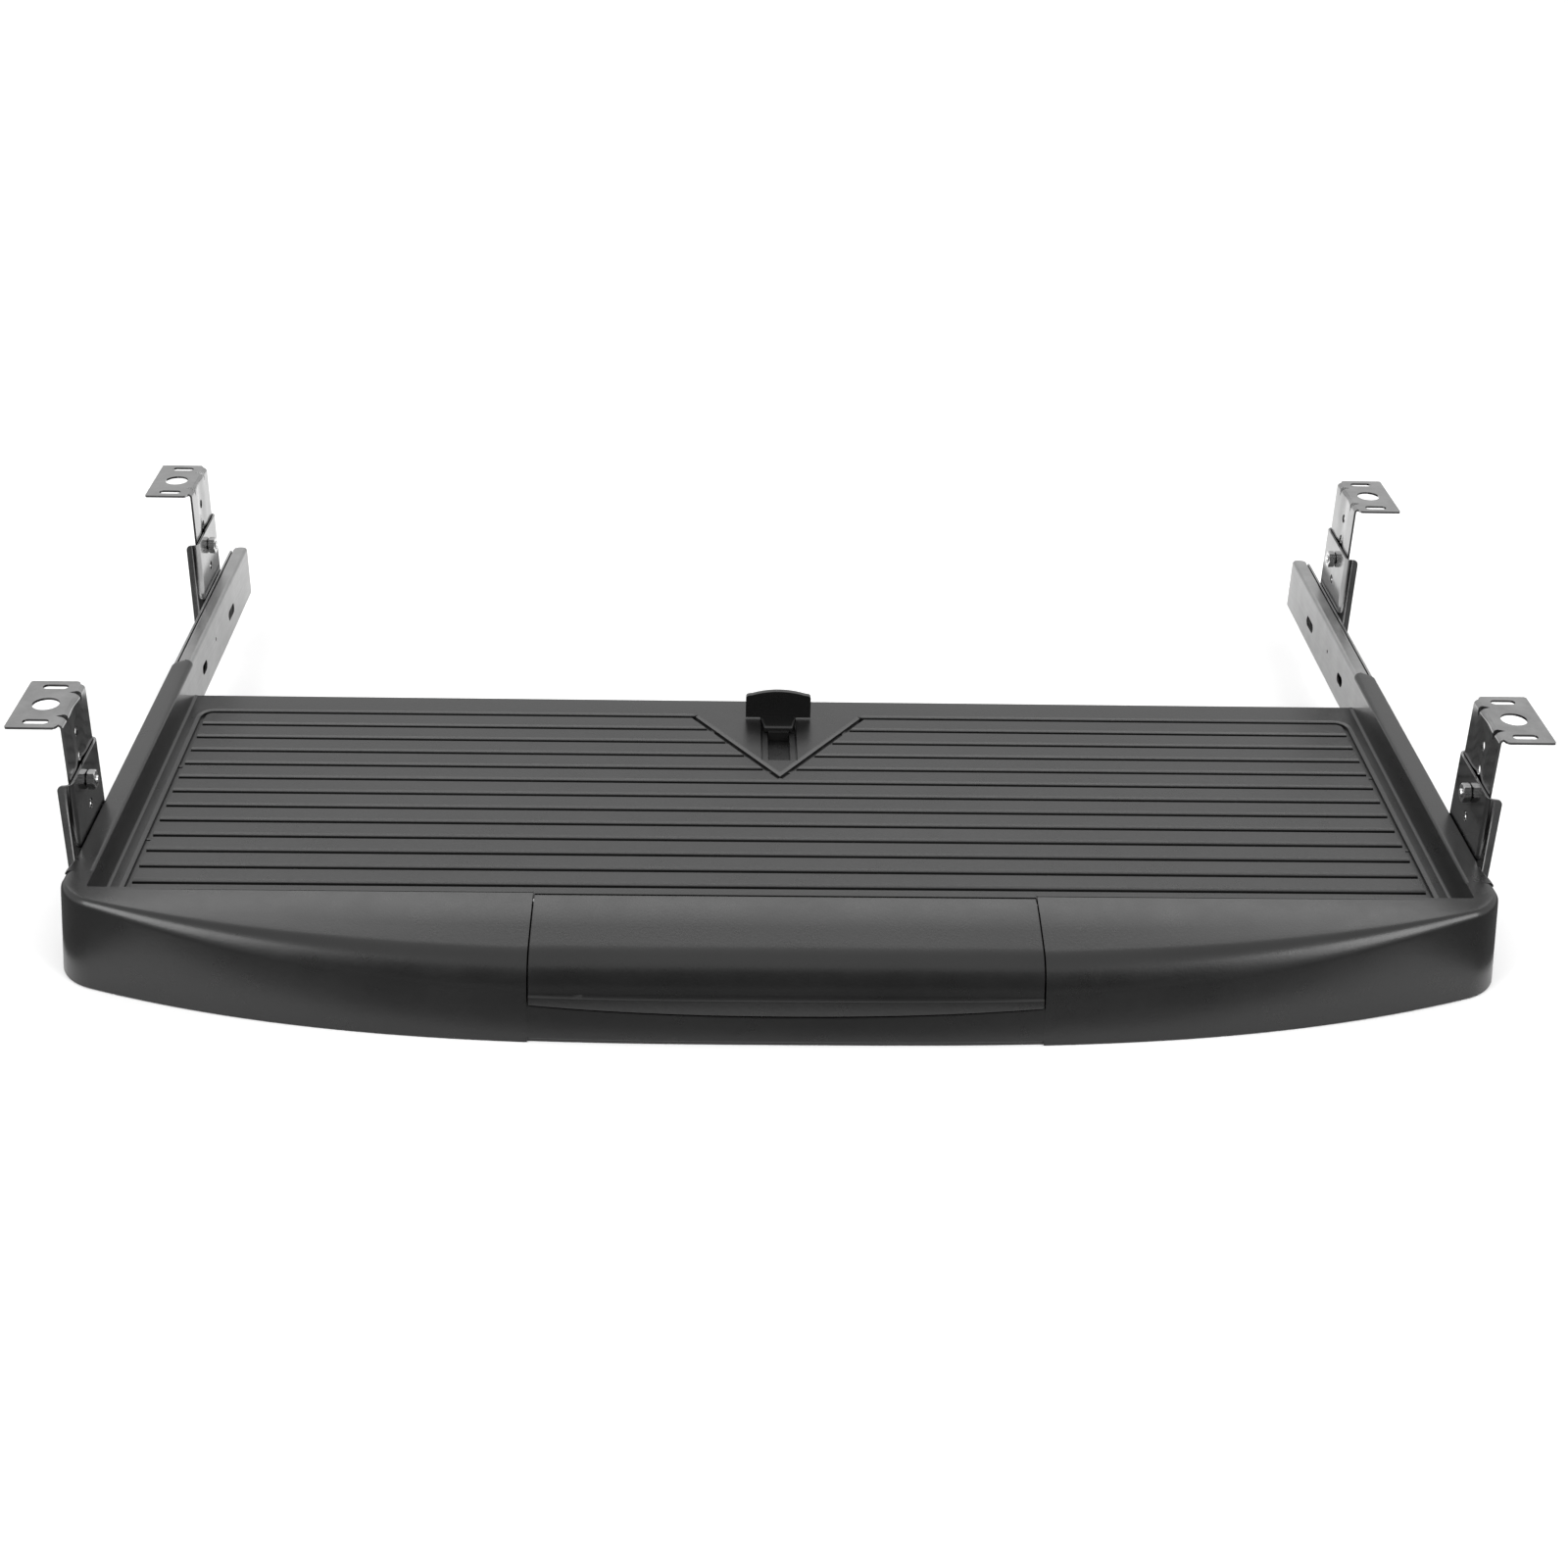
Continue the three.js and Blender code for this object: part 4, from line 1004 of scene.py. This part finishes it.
def slides():
    rail, fixed = drawer_rail_shape(), fixed_rail_shape()
    cages = {
        "upper": ball_cage_shape((RAIL_TOP - SHEET + FIXED_TOP) / 2),
        "lower": ball_cage_shape((RAIL_BOTTOM + SHEET + FIXED_BOTTOM) / 2),
    }
    near, far = FIXED_INNER + 0.6, FIXED_OUTER - SHEET - CLEAR
    pad_from = RAIL_FRONT + SHEET + CLEAR
    bumper = softened(prism("x", rounded(pad_from, 22, -8, 3, 1.5), near, far), 0.4, 3)
    screws = [tray_screw_shape(y) for y in SCREW_YS]
    for hand, side in SIDES.items():
        piece(f"moving_rail_{hand}", flip(rail, side), "drawer", "rail_steel", RAIL_STEEL,
              f"drawer_rail_{hand}")
        piece(f"static_rail_{hand}", flip(fixed, side), "hanger", "rail_steel", RAIL_STEEL,
              f"fixed_rail_{hand}")
        piece(f"bumper_{hand}", flip(bumper, side), "hanger", "bumper_rubber", RUBBER,
              f"closing_bumper_{hand}")
        for level, shape in cages.items():
            piece(f"balls_{level}_{hand}", flip(shape, side), f"ball_cage_{hand}", "ball_steel",
                  BALL_STEEL, f"ball_cage_{level}_{hand}")
        for i, shape in enumerate(screws, 1):
            piece(f"rail_screw_{i}_{hand}", flip(shape, side), "drawer", "fastener_steel",
                  FASTENER_STEEL, f"tray_screw_{i}_{hand}")


# ---------------------------------------------------------------- brackets, drawn about y = 0

def dish(y):
    if abs(y) >= DISH_HALF:
        return 0
    return DISH * math.cos(math.pi / 2 * y / DISH_HALF) ** 2


DART_END = 1.1                   # reach at the two ends of a dent
DART_SHARES = (-1, -0.5, 0, 0.5, 1)
GUSSET_HALF = 1.9
GUSSET_SIZE = 4.6
LEG_BEND = 2
PLATE_LAP = 6                    # how far the bent sheet runs on under the plate
DESK_HOLE = 5.4
DESK_SLOT = (5.15, 1.95)         # half length, half width
DESK_SLOT_YS = (-15.4, 15.4)


def dart_tools():
    """The V-shaped dents that cross the bend at 45 degrees."""
    tools = []
    for y in DART_YS:
        loops = []
        for share in DART_SHARES:
            reach = DART_REACH + (DART_END - DART_REACH) * abs(share)
            across = y + share * DART_HALF
            loops.append([
                (LEG_INNER - 2, across, PLATE_TOP + 2),
                (LEG_INNER - 2, across, PLATE_TOP - reach - 2),
                (LEG_INNER + reach + 2, across, PLATE_TOP + 2),
            ])
        tools.append(loft(loops))
    return tools


def bent_leg():
    """The leg with its dish and the bend into the plate."""
    loops = []
    steps = 36
    for i in range(steps + 1):
        y = -LEG_HALF + 2 * LEG_HALF * i / steps
        inner = LEG_INNER + dish(y)
        section = [
            (inner, LEG_BOTTOM),
            *arc(inner + LEG_BEND, PLATE_TOP - LEG_BEND, LEG_BEND, 180, 90, 8),
            (LEG_INNER + PLATE_LAP, PLATE_TOP),
            (LEG_INNER + PLATE_LAP, PLATE_TOP - SHEET),
            *arc(inner + LEG_BEND, PLATE_TOP - LEG_BEND, LEG_BEND - SHEET, 90, 180, 8),
            (inner + SHEET, LEG_BOTTOM),
        ]
        loops.append(along("y", section, y))
    return loft(loops)


def desk_plate():
    """The plate, with a small notch on each side where it meets the bend."""
    side_line = [
        (LEG_INNER + 1.6, LEG_HALF - 0.8),
        (LEG_INNER + 1.75, LEG_HALF + 0.3),
        (LEG_INNER + 2.1, LEG_HALF + 1.4),
        (LEG_INNER + 2.9, PLATE_HALF - 0.3),
        (LEG_INNER + 3.5, PLATE_HALF),
        *arc(PLATE_OUTER - 1.1, PLATE_HALF - 1.1, 1.1, 90, 0, 5),
    ]
    outline = [*side_line, *[(x, -y) for x, y in side_line[::-1]]]
    return prism("z", outline, PLATE_TOP - SHEET + 0.01, PLATE_TOP - 0.01)


def gussets():
    """The metal that the dents push into the inside of the bend."""
    x, z = LEG_INNER + SHEET - 0.5, PLATE_TOP - SHEET + 0.5
    solids = []
    for centre in DART_YS:
        loops = []
        for share in DART_SHARES:
            y = centre + share * GUSSET_HALF
            size = GUSSET_SIZE * math.cos(share * math.pi / 2 * 0.9)
            loops.append([(x, y, z), (x + size, y, z), (x, y, z - size)])
        solids.append(loft(loops))
    return solids


def upper_bracket_shape():
    middle = (LEG_INNER + PLATE_OUTER) / 2
    through = (PLATE_TOP - 3, PLATE_TOP + 1)
    tools = [
        rod("z", middle, 0, DESK_HOLE, *through, 48),
        *[prism("z", oblong(middle, y, *DESK_SLOT), *through) for y in DESK_SLOT_YS],
        *[rod("x", 0, z, HOLE_RADIUS, LEG_INNER - 1, LEG_INNER + 4) for z in HOLES],
        *dart_tools(),
    ]
    return softened(cut(join(bent_leg(), [desk_plate(), *gussets()]), tools), 0.12, 2, 40)


HOOK_CORNER = 2.4


def lower_bracket_shape():
    centre = HOOK_INNER + BEND
    flat = HOOK_HALF - BEND
    plan = [
        (HOOK_OUTER, -HOOK_HALF),
        *arc(centre, -flat, BEND, 270, 180, 10),
        *arc(centre, flat, BEND, 180, 90, 10),
        (HOOK_OUTER, HOOK_HALF),
        (HOOK_OUTER, HOOK_HALF - SHEET),
        *arc(centre, flat, BEND - SHEET, 90, 180, 8),
        *arc(centre, -flat, BEND - SHEET, 180, 270, 8),
        (HOOK_OUTER, -HOOK_HALF + SHEET),
    ]
    channel = prism("z", plan, HOOK_BOTTOM, HOOK_TOP)
    turn = HOOK_OUTER - HOOK_CORNER
    front = [
        (HOOK_INNER - 1, HOOK_BOTTOM - 1),
        *arc(turn, HOOK_BOTTOM + HOOK_CORNER, HOOK_CORNER, -90, 0, 8),
        *arc(turn, HOOK_TOP - HOOK_CORNER, HOOK_CORNER, 0, 90, 8),
        (HOOK_INNER - 1, HOOK_TOP + 1),
    ]
    channel = boolean(channel, "INTERSECT", [prism("y", front, -30, 30)])
    web = (HOOK_INNER - 1, HOOK_INNER + SHEET + 1)
    return softened(cut(channel, [
        *[rod("x", 0, z, HOLE_RADIUS, *web) for z in HOLES[2:]],
        *[rod("x", y, RIVET_Z, RIVET_SHANK + CLEAR, *web) for y in (-RIVET_OFFSET, RIVET_OFFSET)],
    ]), 0.14, 2, 40)


def threaded(start, stop, radius, pitch=0.7, depth=0.28):
    profile = []
    x = start
    while x + pitch <= stop:
        profile += [(x, radius - depth), (x + pitch * 0.5, radius)]
        x += pitch
    return profile


def height_bolt_shape():
    face = LEG_INNER + DISH + SHEET + CLEAR
    tip = HOOK_INNER - 4.4
    dome = [(face + 2.4 * math.sin(a), 3.9 - 1.5 * (1 - math.cos(a)))
            for a in [math.pi / 2 * i / 8 for i in range(9)]]
    profile = [
        (tip, 0), (tip, BOLT_SHANK - 0.5), *threaded(tip + 0.3, face - 0.2, BOLT_SHANK),
        (face, BOLT_SHANK), (face, 3.7), (face + 0.2, 3.9), *dome[1:], (face + 2.4, 0),
    ]
    deep, out = face + 1.2, face + 4
    cross = [
        box(deep, out, -2, 2, BOLT_Z - 0.45, BOLT_Z + 0.45),
        box(deep + 0.01, out, -0.45, 0.45, BOLT_Z - 2, BOLT_Z + 2),
    ]
    return cut(turned(0, BOLT_Z, profile, 36), cross)


def height_nut_shape():
    face = HOOK_INNER - CLEAR
    hexagon = rod("x", 0, BOLT_Z, NUT_RADIUS, face - NUT_THICK, face, 6)
    chamfer = turned(0, BOLT_Z, [
        (face - NUT_THICK - 0.01, 0), (face - NUT_THICK - 0.01, NUT_RADIUS - 0.55),
        (face - NUT_THICK + 0.4, NUT_RADIUS + 0.1), (face - 0.4, NUT_RADIUS + 0.1),
        (face + 0.01, NUT_RADIUS - 0.55), (face + 0.01, 0),
    ], 36)
    bore = rod("x", 0, BOLT_Z, BOLT_SHANK + CLEAR * 0.5, face - 9, face + 1)
    return softened(cut(boolean(hexagon, "INTERSECT", [chamfer]), [bore]), 0.12, 2, 25)


def rivet_shape():
    inner = FIXED_OUTER - SHEET - CLEAR
    outer = HOOK_INNER + SHEET + CLEAR
    dome = [(math.sin(a), math.cos(a)) for a in [math.pi / 2 * i / 6 for i in range(7)]]
    profile = [
        *[(inner - 0.9 * s, 3 * c) for s, c in dome[::-1]],
        (inner, RIVET_SHANK),
        (outer, RIVET_SHANK),
        *[(outer + s, 3 * c) for s, c in dome],
    ]
    return turned(0, RIVET_Z, profile)


def brackets():
    kinds = {
        "desk_bracket": (upper_bracket_shape(), "bracket_steel", BRACKET_STEEL, "upper_bracket"),
        "slide_bracket": (lower_bracket_shape(), "bracket_steel", BRACKET_STEEL, "lower_bracket"),
        "bolt": (height_bolt_shape(), "fastener_steel", FASTENER_STEEL, "height_bolt"),
        "nut": (height_nut_shape(), "fastener_steel", FASTENER_STEEL, "height_nut"),
    }
    rivet = rivet_shape()
    for hand, side in SIDES.items():
        for end, y in BRACKET_YS.items():
            for kind, (shape, slot, material, node) in kinds.items():
                piece(f"{kind}_{end}_{hand}", flip(shift_y(shape, y), side), "hanger", slot,
                      material, f"{node}_{end}_{hand}")
            for way, offset in (("a", -RIVET_OFFSET), ("b", RIVET_OFFSET)):
                piece(f"rivet_{end}_{way}_{hand}", flip(shift_y(rivet, y + offset), side), "hanger",
                      "fastener_steel", FASTENER_STEEL, f"rail_rivet_{end}_{way}_{hand}")


tray()
pen_lid()
keyboard_stop()
hinge_pins()
slides()
brackets()


# ---------------------------------------------------------------- studio

FLOOR_HALF = 6
CARD_LEVEL = 0.001               # the cards that lie on the floor
CARD_FRONT = -0.22               # where the floor card ends and the side cards start
CARD_REACH = 3
FLOOR_SHADE = 0.13
FRONT_SHADE = 0.02
SKY = 0.95


def flat_panel(name, corners):
    mesh = bpy.data.meshes.new(name)
    mesh.from_pydata(corners, [], [(0, 1, 2, 3)])
    panel = bpy.data.objects.new(name, mesh)
    bpy.context.scene.collection.objects.link(panel)
    return panel


def lying(x0, x1, y0, y1, z):
    """The corners of a level rectangle."""
    return [(x0, y0, z), (x1, y0, z), (x1, y1, z), (x0, y1, z)]


def studio_floor():
    half = FLOOR_HALF
    floor = flat_panel("studio_floor", lying(-half, half, -half, half, 0))
    material, nodes, links, shader = node_material("studio_floor")
    cloud = noise(nodes, links, coordinates(nodes, links), 3, 2)
    links.new(tint(nodes, links, cloud, (0.86,) * 3, (0.88,) * 3), shader.inputs["Base Color"])
    shader.inputs["Roughness"].default_value = 0.9
    shader.inputs["Specular IOR Level"].default_value = 0.1
    floor.data.materials.append(material)


def soft_light(name, position, target, width, height, power):
    data = bpy.data.lights.new(name, "AREA")
    data.shape = "RECTANGLE"
    data.size, data.size_y = width, height
    data.energy = power
    lamp = bpy.data.objects.new(name, data)
    lamp.location = position
    lamp.rotation_euler = (Vector(target) - Vector(position)).to_track_quat("-Z", "Y").to_euler()
    lamp.visible_camera = False
    bpy.context.scene.collection.objects.link(lamp)


def card(name, corners, shade):
    """A card that only reflections see, as a photographer sets up to darken them."""
    panel = flat_panel(name, corners)
    material, nodes, links, shader = node_material(name)
    weave = noise(nodes, links, coordinates(nodes, links), 40)
    links.new(tint(nodes, links, weave, (shade * 0.9,) * 3, (shade * 1.1,) * 3),
              shader.inputs["Base Color"])
    shader.inputs["Roughness"].default_value = 1
    shader.inputs["Specular IOR Level"].default_value = 0
    panel.data.materials.append(material)
    panel.visible_camera = False
    panel.visible_shadow = False
    panel.visible_diffuse = False


def sky():
    world = bpy.data.worlds.new("studio")
    bpy.context.scene.world = world
    world.use_nodes = True
    background = next(n for n in world.node_tree.nodes if n.type == "BACKGROUND")
    background.inputs["Color"].default_value = (1, 1, 1, 1)
    background.inputs["Strength"].default_value = SKY


studio_floor()
for hand, side in SIDES.items():
    soft_light(f"softbox_{hand}", (1.5 * side, -1.25, 1.1), (0, 0, 0.1), 1.0, 1.3, 26)
    side_corners = lying(0.3 * side, CARD_REACH * side, CARD_FRONT, CARD_REACH, CARD_LEVEL)
    card(f"side_card_{hand}", side_corners, FLOOR_SHADE)
soft_light("back_light", (0, 1.5, 1.8), (0, 0, 0), 3.2, 0.8, 18)
front_corners = [(-1.3, -2.2, 0.1), (1.3, -2.2, 0.1), (1.3, -2.2, 2.4), (-1.3, -2.2, 2.4)]
card("front_card", front_corners, FRONT_SHADE)
floor_corners = lying(-CARD_REACH, CARD_REACH, -CARD_REACH, CARD_FRONT, CARD_LEVEL)
card("floor_card", floor_corners, FLOOR_SHADE)
sky()
bpy.context.scene.view_settings.view_transform = "Standard"
